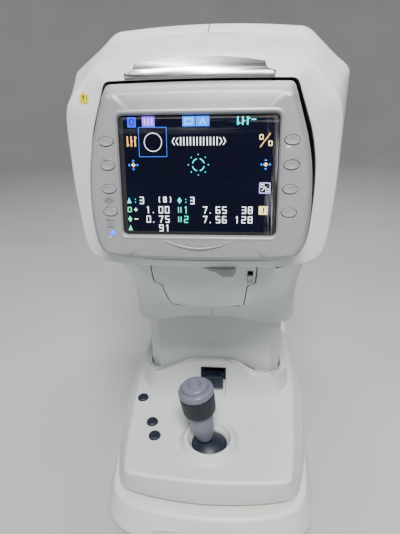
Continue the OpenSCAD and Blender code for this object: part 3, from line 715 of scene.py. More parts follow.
def side_covers():
    rings = [ring_of(row, RING_R) for row in HEAD_RINGS]
    rings[0] = at_depth(rings[0], -110.7)
    lip = around(inward(rings[0], SEAM_LIP))
    hole, hole_in = circle_ring(62.2, 118.0), circle_ring(61.8, 104.0)
    body = soften([lip] + rings + [hole, hole_in], [0, 0.9, 5.0, 14.0, 9.0, 5.0, 1.0, 0])
    # painted shade: the open rims of the shells (rim=1) and the walls cut by the pod and the arch take the
    # near-black material, for shade in the seams
    head = skin("head_rear_skin", body, ("white_plastic", "gap_black"), angle=50)
    neck = skin("neck_skin", neck_rings(), ("white_plastic", "gap_black"), angle=50)
    pod_cut = pod_solid("pod_cut", -0.9, "gap_black")
    arch = prism("arch_cut", ARCH_LOW, 60, 140, "gap_black", FORWARD)
    for side, word in ((-1, "left"), (1, "right")):
        shells = []
        for source, gap in ((head, 0.35), (neck, 0.6)):
            part = half_of(source, "part", side, gap)
            solid(part, 2.3, rim=1)
            shells.append(baked(part))
        carve(shells[1], [copy_of(arch), copy_of(pod_cut)], angle=40)
        place(joined("head_side_shell_" + word, shells, 40), "head", "white_plastic", "side_cover_" + word)
    for o in (head, neck, pod_cut, arch):
        bpy.data.objects.remove(o)


# ---------------------------------------------------------------- printer pod, door, latch, paper
# height, depth of the face at the middle, half-width
POD = [(326, -199.6, 66), (312, -198.4, 65), (300, -195, 62.5), (291, -190, 59.5), (283, -184, 56.5),
       (275, -177.5, 53.6), (267, -170.5, 51), (260.5, -163.5, 48.2), (255.5, -155.5, 43.5),
       (252.3, -146, 36), (251.2, -134, 26)]
POD_REAR, POD_MIDDLE, POD_TOP = -117, -134.0, 340


def pod_solid(name, t, material="white_plastic"):
    """The printer pod as a closed form, its surface moved inwards by t."""
    rings = []
    for z, y, w in POD:
        w, y, z, rear = w - t, y + t, z + t, POD_REAR - t
        half = [(0, y - 1.4, z), (w * 0.45, y - 0.6, z), (w - 9, y + 3.5, z), (w, y + 19, z), (w, rear, z),
                (0, rear, z)]
        rings.append(around(both_halves(half, [20, 30, 9, 12, 3, 3], 6), 300, (0.0, POD_MIDDLE), (0, 1)))
    if t:
        top = rings[0].copy()
        top[:, 2] = POD_TOP
        rings = [top] + rings
    centre = rings[-1].mean(0, keepdims=True)
    rings.append(np.repeat(centre + np.array([[0, 0, -0.3]]), len(rings[0]), 0))
    return skin(name, rings, material, caps=(True, False), angle=60)


def door_prism(g):
    """The door's outline run through the pod, grown by g; the walls it cuts take its near-black, painted shade in
    the door's seam.
    """
    half = [(46.5 + g, 330), (45.0 + g, 301.4), (37.8 + g, 299.2 - g), (35.4 + g, 261 - g)]
    flat = rounded(half + [(-x, z) for x, z in half[::-1]], [0, 2.6, 2.6, 0.4, 0.4, 2.6, 2.6, 0])
    return prism("door_prism", flat, 140, 230, "gap_black", FORWARD)


def printer():
    outer, inner = pod_solid("pod_outer", 0.0), pod_solid("pod_inner", 2.4)
    shell = carve(outer, [inner], angle=50)
    door = copy_of(shell)
    door.name = "printer_door_panel"
    open_back = block("open_back", (-60, -135, 256), (60, -110, 322))
    carve(shell, [door_prism(0.95), open_back], angle=50)
    shell.name = "printer_pod_shell"
    latch_room = block("latch_room", (38.2, -215, 301.6), (43.2, -175, 315.6))
    carve(door, [door_prism(0.0)], "INTERSECT", angle=50)
    carve(door, [latch_room], angle=50)
    _, hinge_y, hinge_z = JOINTS["door_hinge"]["pos_m"]
    pin, relief = [lathe("pin", [(0, -w), (r, -w), (r, w), (0, w)], "white_plastic",
                         at(0, hinge_y / MM, hinge_z / MM, ry=90), 24) for r, w in ((0.8, 33), (1.2, 34))]
    carve(shell, [relief], angle=50)
    door = joined("printer_door_panel", [door, pin], 50)
    for o in (shell, door):
        bevelled(o, 0.35, 2, 60)
    place(shell, "head", "white_plastic", "printer_pod")
    place(door, "door", "white_plastic", "printer_door")
    low, high = mm_box("door_latch")
    latch = block("tab", (low[0], -197.9, low[2]), tuple(high))
    grip = block("grip", (low[0] + 0.9, -199.0, low[2] + 1.6), (high[0] - 0.9, -197.4, low[2] + 3.2))
    latch = joined("door_latch_tab", [latch, grip], 35)
    bevelled(latch, 0.45)
    place(latch, "latch", "white_plastic", "door_latch")


# the paper's slot, the pod's lip that it droops over, and its height
SLOT_Y, LIP_Y, SHEET_Z = -176.0, -198.5, 318.85


def paper_strip():
    """Receipt paper out of the slot above the door, with a torn end that droops a little on the right."""
    tear = [(-28.5, -197.5), (-21, -198.6), (-12, -197.8), (-4, -199.2), (1.5, -201.6), (5.5, -205.2),
            (9.5, -206.0), (14, -209.0), (18.5, -212.4), (21.5, -211.0), (25.2, -211.6), (27.2, -208.6),
            (28.5, -206.4)]
    edge = dense([(x, y, 0.0) for x, y in tear], 0.8, closed=False)
    jitter = np.sin(edge[:, 0] * 5.1) * 0.28 + np.sin(edge[:, 0] * 13.7 + 1.0) * 0.16
    rows = []
    for k in np.linspace(0, 1, 14):
        y = SLOT_Y + (edge[:, 1] + jitter * k - SLOT_Y) * k
        out = np.clip(LIP_Y - y, 0, 20)
        z = SHEET_Z - 0.018 * out ** 2 + 0.25 * np.sin(edge[:, 0] * 0.23) * np.clip(out / 8, 0, 1)
        rows.append(np.column_stack([edge[:, 0], y, z]))
    sheet = skin("paper_strip", rows, "paper", closed_u=False, angle=80)
    solid(sheet, 0.09, 0.0)
    place(baked(sheet, 80), "head", "paper")


def printer_module():
    """Print head, side plates and spindle behind the door."""
    top = mm_box("printer_mech")[1][2]
    parts = [block("head_bar", (-37.5, -177.5, 319.4), (37.5, -149, top - 0.5), "black_plastic", 0.8),
             block("platen_rail", (-33, -179.6, 320.2), (33, -177.0, 324.0), "steel", 0.5),
             lathe("spindle", [(0, -36.8), (5.4, -36.8), (5.9, -36.2), (5.9, 36.2), (5.4, 36.8), (0, 36.8)],
                   "black_plastic", at(0, -152, 290, ry=90), 40)]
    for x in (-36, 36):
        parts.append(block("cheek", (x - 1.8, -175.5, 286.5), (x + 1.8, -146.5, 319.6), "black_plastic", 0.5))
    place(joined("printer_module", parts, 40), "head", "black_plastic", "printer_mech")


# ---------------------------------------------------------------- screen frame, keys, screen
BEZEL = [(0, 336.3), (45, 337), (62, 338.3), (72, 341.5), (77.5, 347.5), (80.2, 355), (82.3, 370),
         (82.8, 384), (82.3, 400), (81, 414), (77.6, 430), (73, 445), (69.5, 456), (67, 465.4), (34, 466.2),
         (0, 466.5)]
BEZEL_R = [10, 14, 10, 7, 7, 8, 10, 12, 12, 12, 12, 12, 8, 3, 14, 14]


def bezel_ring(t, d, y=None):
    """The frame's outline moved inwards by t, at depth y or at depth d behind the face."""
    pts = [(max(x - t, 0) if x > 0 else 0, 0, z + (t if z < HEAD_Z else -t)) for x, z in BEZEL]
    ring = ring_of(pts, BEZEL_R)
    ring[:, 1] = face_y(ring[:, 2]) + d if y is None else y
    return ring


def rect_ring(grow_w, grow_h, r, depth):
    """Rounded rectangle on the screen plane, larger than the screen by two amounts, at a depth behind it."""
    hw, hh = (SCREEN_W + grow_w) / 2, (SCREEN_H + grow_h) / 2
    pts = rounded([(-hw, 0, -hh), (hw, 0, -hh), (hw, 0, hh), (-hw, 0, hh)], r, 8)
    pts[:, 1] = depth
    return around(moved(pts, ON_SCREEN))


def facing(x, z):
    """Frame at a point of the screen plane, its Z axis towards the user."""
    return ON_SCREEN @ Matrix.Translation((x, 0, z)) @ Matrix.Rotation(math.pi / 2, 4, "X")


KEYS = [(side, word, row) for side, word in ((-1, "left"), (1, "right")) for row in range(1, 5)]
LAMP = (-65.5, -41.6)
GAP_FLOOR_Y = -192.6


def screen_frame():
    opening = rect_ring(6.4, 6.4, 7.0, 0.0)
    lip = rect_ring(4.6, 4.6, 6.2, -0.55)
    brow = rect_ring(2.2, 2.2, 5.2, -0.25)
    edge = rect_ring(-0.2, -0.2, 4.2, 1.6)
    well = rect_ring(-0.4, -0.4, 4.0, 4.2)
    back_in = rect_ring(5.0, 5.0, 5.0, 5.6)
    rings = [bezel_ring(3.4, 0, -203.6), bezel_ring(0, 0, -203.6), bezel_ring(0.0, 5.6),
             bezel_ring(2.9, 0.75), bezel_ring(5.2, 0.0), bezel_ring(7.2, 0.0)]
    rings += [rings[-1] * 0.5 + opening * 0.5, opening, lip, brow, edge, well, back_in]
    rings += [bezel_ring(6.5, 6.0), bezel_ring(3.4, 8.5)]
    rings = soften(rings, [0, 0, 1.6, 1.4, 1.6, 0, 0, 0.8, 0.8, 0.7, 0.5, 0, 0, 0, 0])
    frame_mesh = skin("screen_frame", rings, "silver_plastic", closed_v=True, angle=45)
    oval = [(5.75 * math.cos(t), 3.62 * math.sin(t)) for t in np.linspace(0, 2 * math.pi, 48, endpoint=False)]
    cuts = [prism("key_hole", oval, -14, 5, "silver_plastic", facing(side * KEY_X, (2.5 - row) * KEY_PITCH))
            for side, _, row in KEYS]
    bore = [(0, -14), (2.2, -14), (2.2, 5), (0, 5)]
    cuts.append(lathe("lamp_hole", bore, "silver_plastic", facing(*LAMP), 32))
    carve(frame_mesh, cuts, angle=45)
    w = frame_mesh.modifiers.new("normals", "WEIGHTED_NORMAL")
    w.weight, w.keep_sharp = 60, True
    # crescent bead on the lower band
    path = [(-34, 361.2), (-25, 356.2), (-14, 352.0), (0, 350.0), (14, 352.1), (25, 356.3), (34, 361.4)]
    line = dense(rounded(path, 6, closed=False), 1.0, closed=False)
    rings = []
    for i, (x, z) in enumerate(line):
        s = math.sin(math.pi * min(max(i / (len(line) - 1), 0.02), 0.98)) ** 0.6
        dx, dz = line[min(i + 1, len(line) - 1)] - line[max(i - 1, 0)]
        size = math.hypot(dx, dz)
        nx, nz = -dz / size, dx / size
        ring = []
        for a in np.linspace(0, 2 * math.pi, 12, endpoint=False):
            off, up = 0.8 * s * math.cos(a), 0.34 * s * math.sin(a)
            zz = z + nz * off
            ring.append((x + nx * off, float(face_y(zz)) - up + 0.08, zz))
        rings.append(np.array(ring))
    bead = skin("bead", rings, "silver_plastic", caps=BOTH, angle=60)
    place(joined("screen_frame", [frame_mesh, bead], 45), "head", "silver_plastic", "bezel")


def keys():
    profile = [(0.01, 0.01, -8.3), (6.3, 4.2, -8.3), (6.3, 4.2, -6.5), (5.35, 3.2, -6.4), (5.35, 3.2, 0.35),
               (5.22, 3.07, 0.72), (4.9, 2.76, 0.95), (4.4, 2.3, 0.9), (2.5, 1.3, 0.72), (0.01, 0.01, 0.66)]
    for side, word, row in KEYS:
        spot = facing(side * KEY_X, (2.5 - row) * KEY_PITCH)
        key = lathe(f"key_cap_{word}_{row}", profile, "silver_plastic", spot, 56, 40)
        node = f"key_{word}_{row}"
        place(key, BODY[node], "silver_plastic", node)


# seven-segment shapes: top, top right, bottom right, bottom, bottom left, top left, middle
DIGITS = {"0": "1111110", "1": "0110000", "2": "1101101", "3": "1111001", "4": "0110011", "5": "1011011",
          "6": "1011111", "7": "1110000", "8": "1111111", "9": "1111011", "-": "0000001"}


class Display:
    """Flat graphics on the screen plane, in millimetres from the screen's centre."""

    def __init__(self):
        self.verts, self.faces, self.index, self.slots = [], [], [], []

    def shape(self, points, tint):
        if tint not in self.slots:
            self.slots.append(tint)
        first = len(self.verts)
        self.verts += [(x, 0.0, z) for x, z in points]
        self.faces.append(tuple(range(first, first + len(points))))
        self.index.append(self.slots.index(tint))

    def box(self, x, z, w, h, tint):
        self.shape([(x - w / 2, z - h / 2), (x + w / 2, z - h / 2), (x + w / 2, z + h / 2),
                    (x - w / 2, z + h / 2)], tint)

    def line(self, a, b, w, tint):
        (ax, az), (bx, bz) = a, b
        length = math.hypot(bx - ax, bz - az)
        nx, nz = -(bz - az) / length * w / 2, (bx - ax) / length * w / 2
        self.shape([(ax - nx, az - nz), (bx - nx, bz - nz), (bx + nx, bz + nz), (ax + nx, az + nz)], tint)

    def outline(self, x, z, w, h, t, tint):
        for dx, dz, bw, bh in ((0, h / 2, w, t), (0, -h / 2, w, t), (w / 2, 0, t, h), (-w / 2, 0, t, h)):
            self.box(x + dx, z + dz, bw, bh, tint)

    def arc(self, x, z, r, w, a0, a1, tint, n=24):
        for i in range(n):
            s, e = (math.radians(a0 + (a1 - a0) * k / n) for k in (i, i + 1))
            self.shape([(x + (r + d) * math.cos(q), z + (r + d) * math.sin(q)) for q, d in
                        ((s, -w / 2), (e, -w / 2), (e, w / 2), (s, w / 2))], tint)

    def dot(self, x, z, r, tint, n=14):
        self.shape([(x + r * math.cos(2 * math.pi * i / n), z + r * math.sin(2 * math.pi * i / n))
                    for i in range(n)], tint)

    def digit(self, ch, x, z, w, h, bold, tint):
        """Seven-bar figure centred at x, z."""
        a, b = (w - bold) / 2, (h - bold) / 2
        bars = ((0, b, w - bold * 0.5, bold), (a, b / 2, bold, b + bold * 0.4),
                (a, -b / 2, bold, b + bold * 0.4), (0, -b, w - bold * 0.5, bold),
                (-a, -b / 2, bold, b + bold * 0.4), (-a, b / 2, bold, b + bold * 0.4),
                (0, 0, w - bold * 0.6, bold))
        if ch == "1":
            self.box(x, z, bold, h, tint)
            self.line((x - w * 0.3, z + h * 0.28), (x, z + h * 0.44), bold * 0.8, tint)
        elif ch == "7":
            self.box(x, z + b, w, bold, tint)
            self.line((x + a, z + b), (x - w * 0.12, z - h / 2 + bold * 0.2), bold, tint)
        else:
            for lit, (dx, dz, bw, bh) in zip(DIGITS[ch], bars):
                if lit == "1":
                    self.box(x + dx, z + dz, bw, bh, tint)

    def mark(self, ch, x, z, w, h, bold, tint):
        """One cell of a reading: a figure, a sign, or a plain sign shape in place of a caption."""
        if ch in DIGITS:
            self.digit(ch, x, z, w, h, bold, tint)
        elif ch == ".":
            self.box(x - w * 0.3, z - h / 2 + bold * 0.6, bold * 1.1, bold * 1.1, tint)
        elif ch == ":":
            for dz in (-h * 0.24, h * 0.16):
                self.box(x, z + dz, bold, bold, tint)
        elif ch == "+":
            self.box(x, z, w * 0.85, bold * 0.9, tint)
            self.box(x, z, bold * 0.9, w * 0.85, tint)
        elif ch == "^":
            self.shape([(x - w / 2, z - h * 0.4), (x + w / 2, z - h * 0.4), (x, z + h * 0.42)], tint)
        elif ch == "<":
            self.shape([(x - w / 2, z), (x, z - h * 0.45), (x + w / 2, z), (x, z + h * 0.45)], tint)
        elif ch == "#":
            self.outline(x, z, w * 0.72, h * 0.62, bold, tint)
        elif ch == "|":
            for dx in (-0.28, 0.28):
                self.box(x + w * dx, z, bold, h * 0.8, tint)

    def built(self, name, depth):
        # each shape lies a hair above the last one, so that no two faces share a plane
        pts = np.array(self.verts, float)
        for number, face in enumerate(self.faces):
            for v in face:
                pts[v, 1] = depth - number * 0.0008
        mesh = bpy.data.meshes.new(name)
        mesh.from_pydata((moved(pts, ON_SCREEN) * MM).tolist(), [], self.faces)
        mesh.polygons.foreach_set("material_index", self.index)
        for s in self.slots:
            mesh.materials.append(MATS[s])
        return linked(name, mesh)


CELL, FIGURE_W, FIGURE_H, FIGURE_BOLD = 4.75, 3.3, 5.3, 0.7
FIRST_CELL = -51.9
ROWS = ((-17.0, "^:3     <:3         ", "cyan", "cyan"), (-23.9, "#+ 1.00 |1  7.65  38", "green", "teal"),
        (-31.0, "<- 0.75 |2  7.56 128", "green", "teal"), (-37.6, "^    91", "green", "teal"))


def screen_graphics():
    d = Display()
    # mode row: four boxes with plain signs, three bars and a dash
    d.box(-47.3, 38.2, 6.2, 6.8, "ui_blue")
    d.outline(-47.3, 38.2, 2.6, 3.6, 0.7, "ui_dark")
    d.box(-35.2, 38.6, 9.1, 6.9, "ui_violet")
    for dx in (-2.6, 0, 2.6):
        d.box(-35.2 + dx, 38.6, 1.0, 4.4, "ui_lilac")
    d.box(-6.3, 38.5, 8.9, 6.8, "ui_azure")
    d.box(3.5, 38.5, 9.6, 6.8, "ui_azure")
    d.outline(-6.3, 38.5, 5.2, 3.6, 0.8, "ui_cyan")
    d.line((1.6, 36.6), (3.5, 40.4), 0.8, "ui_cyan")
    d.line((5.4, 36.6), (3.5, 40.4), 0.8, "ui_cyan")
    for i in range(3):
        d.box(28.2 + i * 3.4, 38.4, 1.1, 5.6, "ui_cyan")
        d.box(29.3 + i * 3.4, 38.4 + (i - 1) * 1.6, 1.4, 0.9, "ui_cyan")
    d.box(39.2, 39.2, 3.2, 0.9, "ui_cyan")
    # marker frame with its ring, and the tab beside it
    d.outline(-32.5, 24.6, 20.2, 20.2, 0.3, "ui_azure")
    d.arc(-32.3, 24.5, 6.3, 0.42, 0, 360, "ui_white", 44)
    for dx in (-2.8, 0.0, 2.8):
        d.box(-48.1 + dx, 25.2, 0.95, 7.2, "ui_orange")
        d.box(-47.4 + dx, 25.2 + dx * 0.9, 0.9, 0.9, "ui_orange")
    # message bar between two pairs of chevrons
    for side in (-1, 1):
        for k in (0, 2.6):
            x = 0.75 + side * (15.2 + k)
            d.line((x - side * 0.4, 27.6), (x + side * 1.3, 25.0), 0.6, "ui_white")
            d.line((x + side * 1.3, 25.0), (x - side * 0.4, 22.4), 0.6, "ui_white")
    for i in range(6):
        x = -11.1 + i * CELL
        for dx in (-1.15, 1.15):
            d.box(x + dx, 25.0, 0.8, 5.8, "ui_white")
    # aiming ring in four arcs with eight dots
    for i in range(4):
        d.arc(0.3, 8.7, 4.3, 0.75, i * 90 + 14, i * 90 + 76, "ui_cyan", 12)
    for i in range(8):
        a = math.radians(i * 45)
        d.dot(0.3 + 7.2 * math.cos(a), 8.7 + 7.2 * math.sin(a), 0.45, "ui_cyan", 8)
    # side icons
    d.line((44.0, 20.6), (51.0, 30.0), 0.7, "ui_orange")
    d.outline(44.8, 27.4, 2.2, 3.0, 0.7, "ui_amber")
    d.outline(51.2, 23.2, 2.2, 3.0, 0.7, "ui_amber")
    for x in (-47.4, 48.4):
        d.box(x, 8.7, 0.9, 3.0, "ui_amber")
        d.box(x, 8.7, 3.0, 0.9, "ui_amber")
        for i in range(4):
            a = math.radians(i * 90)
            tip = [(3.9, 0.0), (2.6, 1.1), (2.6, -1.1)]
            d.shape([(x + u * math.cos(a) - v * math.sin(a), 8.7 + u * math.sin(a) + v * math.cos(a)) for u,
                     v in tip], "ui_azure")
    d.outline(48.3, -7.8, 7.4, 7.2, 0.6, "ui_lilac")
    for dx, dz in ((-1.6, 1.5), (1.7, -1.6)):
        d.outline(48.3 + dx, -7.8 + dz, 2.0, 2.0, 0.5, "ui_white")
    d.line((46.2, -9.8), (49.2, -6.9), 0.5, "ui_white")
    d.box(47.7, -24.0, 6.4, 6.2, "ui_amber")
    d.digit("1", 47.9, -24.0, 2.6, 4.2, 0.85, "ui_dark")
    # readings in even cells: figures only
    for z, text, tint, second in ROWS:
        for k, ch in enumerate(text):
            if ch == " ":
                continue
            x = FIRST_CELL + k * CELL
            shade_of = tint if k == 0 or ch == ":" else second if k in (8, 9) else "white"
            d.mark(ch, x, z, FIGURE_W, FIGURE_H, FIGURE_BOLD, "ui_" + shade_of)
    d.mark("8", -24.8, -16.3, 2.6, 4.2, 0.7, "ui_white")
    for side in (-1, 1):
        d.arc(-24.8 + side * 0.8, -16.3, 5.2, 0.6, 155 if side > 0 else -25, 205 if side > 0 else 25,
              "ui_white", 6)
    place(d.built("screen_graphics", 2.35), "head", "lamp_lens")


def screen():
    glass = rect_ring(-0.8, -0.8, 4.0, 3.0)
    glass_in = rect_ring(-7.6, -5.4, 2.0, 2.5)
    back = rect_ring(-0.8, -0.8, 4.0, 8.0)
    frame_ring = skin("panel_border", soften([back, glass, glass_in], [0, 0.5, 0]), "gap_black", angle=40)
    face = [glass_in, glass_in.mean(0, keepdims=True) + (glass_in - glass_in.mean(0)) * 0.5,
            np.repeat(glass_in.mean(0, keepdims=True), len(glass_in), 0)]
    panel = skin("panel_face", face, "screen_face", angle=40)
    block_back = block("panel_body", (-50, 12, -40), (50, 30, 30), "black_plastic", 0.8, ON_SCREEN)
    # near-black plate behind the gap round the frame: painted shade for the deep, unlit gap
    wider = [(x + 1.6 if x > 0 else 0, y, z + (-1.4 if z < HEAD_Z else 1.4)) for x, y, z in GAP]
    rim, middle = ring_of(wider, GAP_R), np.array([0, 0, HEAD_Z])
    plate = [at_depth(middle + (rim - middle) * k, GAP_FLOOR_Y) for k in (1.0, 0.5, 0.0)]
    floor = skin("gap_shade_floor", plate, "gap_black", angle=40)
    place(joined("screen_unit", [frame_ring, panel, block_back, floor], 40), "head", "glass", "lcd_module")
    sheet_out = rect_ring(-1.6, -1.6, 3.4, 2.05)
    middle = sheet_out.mean(0)
    rings = [sheet_out] + [middle + (sheet_out - middle) * k for k in (0.8, 0.6, 0.4, 0.2, 0.0)]
    cover = skin("screen_film", rings, "film", angle=60)
    for v in cover.data.vertices:
        x, z = v.co.x / MM, v.co.z / MM
        edge = max(0.0, (abs(x) - 46) / 10) ** 2
        v.co.y += MM * 0.16 * edge * math.sin(z * 0.33 + x * 0.05)
    place(cover, "head", "glass")
    dome = lathe("status_lens", [(0, -6), (2.05, -6), (2.05, 0.1), (1.8, 0.5), (1.2, 0.8), (0, 0.95)],
                 "lamp_lens", facing(*LAMP), 32)
    place(dome, "head", "lamp_lens", "status_lamp")


# ---------------------------------------------------------------- name plate, sticker, printed icons
PLATE = [(0, 468.9), (53.4, 468.9), (53.9, 471.9), (49.0, 473.3), (47.4, 475.0), (46.2, 478.3), (34, 480.4),
         (18, 481.9), (0, 482.4)]
PLATE_STEP = [(0, 476.6), (12, 476.3), (24, 475.4), (36, 474.6), (47.6, 474.2)]
PLATE_Y, PLATE_Z = -206.9, 468.9
PLATE_LEAN = (482.4 - PLATE_Z, 5.6)


def plate_layer(name, half, low, high):
    """A slab with a half outline in x and height, lying on the brow's slope between two lifts off it."""
    rise, back = PLATE_LEAN
    size = math.hypot(rise, back)
    flat = dense(mirrored([(x, 0.0, z) for x, z in half]), 2.0)
    rings = []
    for lift in (low, high):
        t = (flat[:, 2] - PLATE_Z) / rise
        y = PLATE_Y + back * t + 2.6 * (np.abs(flat[:, 0]) / 70) ** 2
        rings.append(np.column_stack([flat[:, 0], y - lift * rise / size, flat[:, 2] + lift * back / size]))
    return bevelled(skin(name, rings, "plate_metal", caps=BOTH, angle=40), 0.2, 2, 50)


def name_plate():
    lower = [p for p in PLATE if p[1] < 474] + PLATE_STEP[::-1]
    layers = [plate_layer("plate_upper", PLATE, -1.2, 0.75), plate_layer("plate_lower", lower, -1.0, 1.35)]
    place(joined("brand_plate_blank", layers, 40), "head", "plate_metal", "name_plate")


# a point in front of the cover, in metres, that the sticker is laid on from
STICKER_RAY = (-0.0868, -0.4, 0.4568)


def sticker():
    """Round stock sticker on the front cover, with a number written by hand."""
    cover = bpy.data.objects["head_front_shell"]
    _, hit, normal, _ = cover.ray_cast(Vector(STICKER_RAY), Vector((0.0, 1.0, 0.0)))
    centre = hit / MM
    up = (Vector((-0.05, 0.0, 1.0)) - normal * normal.z).normalized()
    across = up.cross(normal).normalized()
    basis = Matrix((tuple(across) + (0,), tuple(up) + (0,), tuple(normal) + (0,), (0, 0, 0, 1))).transposed()
    spot = Matrix.Translation(centre) @ basis
    profile = [(0, -0.6), (4.5, -0.6), (4.5, 0.12), (4.35, 0.22), (0, 0.22)]
    disc = lathe("disc", profile, "sticker_yellow", spot, 48)
    strokes = []
    one = [(1.6, 2.0), (1.8, -2.2)]
    nine = [(-0.6, 1.2), (-1.5, 1.9), (-2.2, 0.9), (-1.5, -0.1), (-0.6, 0.9), (-0.9, -2.2)]
    for pts in (one, nine):
        for (ax, ay), (bx, by) in zip(pts, pts[1:]):
            length = math.hypot(bx - ax, by - ay)
            turn = Matrix.Rotation(math.atan2(by - ay, bx - ax), 4, "Z")
            pose = spot @ Matrix.Translation((ax, ay, 0)) @ turn
            strokes.append(block("stroke", (-0.25, -0.3, 0), (length + 0.25, 0.3, 0.3), "ink", 0, pose))
    place(joined("stock_sticker", [disc] + strokes, 40), "head", "paper")


def key_icons():
    """Printed icons beside the lower left keys: two sheets over each other, and a slip out of a roll."""
    d = Display()
    tilt = [(-3.4, 0.2), (0.0, 2.3), (3.4, 0.2), (0.0, -1.9)]
    for dz in (0.0, -1.3):
        pts = [(-66.7 + x, -16.6 + z + dz) for x, z in tilt]
        for a, b in zip(pts, pts[1:] + pts[:1]):
            d.line(a, b, 0.42, "print_grey")
    d.line((-68.2, -17.3), (-65.4, -15.6), 0.42, "print_grey")
    d.line((-68.0, -15.6), (-65.2, -17.5), 0.42, "print_grey")
    d.outline(-66.3, -34.2, 4.6, 5.4, 0.42, "print_grey")
    for k in range(3):
        d.box(-66.3, -32.8 - k * 1.3, 2.8, 0.36, "print_grey")
    d.arc(-69.0, -31.6, 0.9, 0.4, 0, 360, "print_grey", 16)
    d.line((-69.6, -37.2), (-63.4, -37.2), 0.42, "print_grey")
    place(d.built("printed_icons", -0.06), "head", "silver_plastic")


# ---------------------------------------------------------------- stage: deck, collar, joystick ring
DECK_BOTTOM = [(0, -221), (45, -218), (75, -213), (92, -208), (101, -200), (106, -186), (112, -162),
               (118, -125), (122, -88), (124, -50), (124, 40), (118, 84), (104, 92), (0, 92)]
DECK_MID = [(0, -222.5), (44, -220), (73, -216), (89, -212), (97, -205), (102, -188), (108, -162),
            (114, -125), (119, -88), (123, -50), (123, 40), (117, 83), (103, 90), (0, 90)]
DECK_TOP = [(0, -222), (42, -220), (70, -217.5), (86, -215), (91, -210), (95, -190), (99, -162), (103, -125),
            (106, -88), (110, -50), (112, 40), (107, 80), (96, 86), (0, 86)]
DECK_R = [20, 20, 12, 5, 5, 14, 20, 20, 20, 20, 20, 10, 8, 10]
COLLAR = [(0, -91.2), (52, -90.4), (84, -82), (100.2, -59), (100.2, 50), (86, 72), (0, 72)]
COLLAR_UP = [(0, -83.2), (52, -82.6), (80.8, -77), (97.5, -56), (97.5, 48), (84, 69), (0, 69)]
ARCH = [(0, 128.9), (13, 128.7), (25, 128.1), (33.5, 126), (40.5, 121.6), (46.2, 116), (50.6, 111.6),
        (53, 110.2), (55, 110)]
# the arch belongs to the front wall, which starts at WALL_Y
ARCH_X, WALL_LEAN, WALL_Y, COLLAR_Z = -1.3, 0.283, -60, 110.0
DECK_Z, STICK_Y = 82.0, -167.0
DECK_BUTTONS = ["deck_button_" + word for word in ("front", "middle", "rear")]


def plan_ring(points, z, radii, t=0.0, centre=(0.0, -70.0), count=360):
    """A half plan outline as a full ring at height z, moved inwards by t."""
    pts = [(max(x - t, 0) if x > 0 else 0, y + (t if y < centre[1] else -t), z) for x, y in points]
    return around(both_halves(pts, radii, 6), count, centre, (0, 1))


def arched(ring):
    """Lifts the front of a collar ring to the arch line, keeping it on the leaning wall."""
    out = ring.copy()
    front = ring[:, 1] < WALL_Y
    x = np.abs(ring[:, 0] - ARCH_X)
    xs, zs = zip(*ARCH)
    rise = np.mean([np.interp(np.abs(x + d), xs, zs) for d in np.linspace(-1.6, 1.6, 7)], 0) - COLLAR_Z
    out[front, 2] += rise[front]
    out[front, 1] += rise[front] * WALL_LEAN
    return out


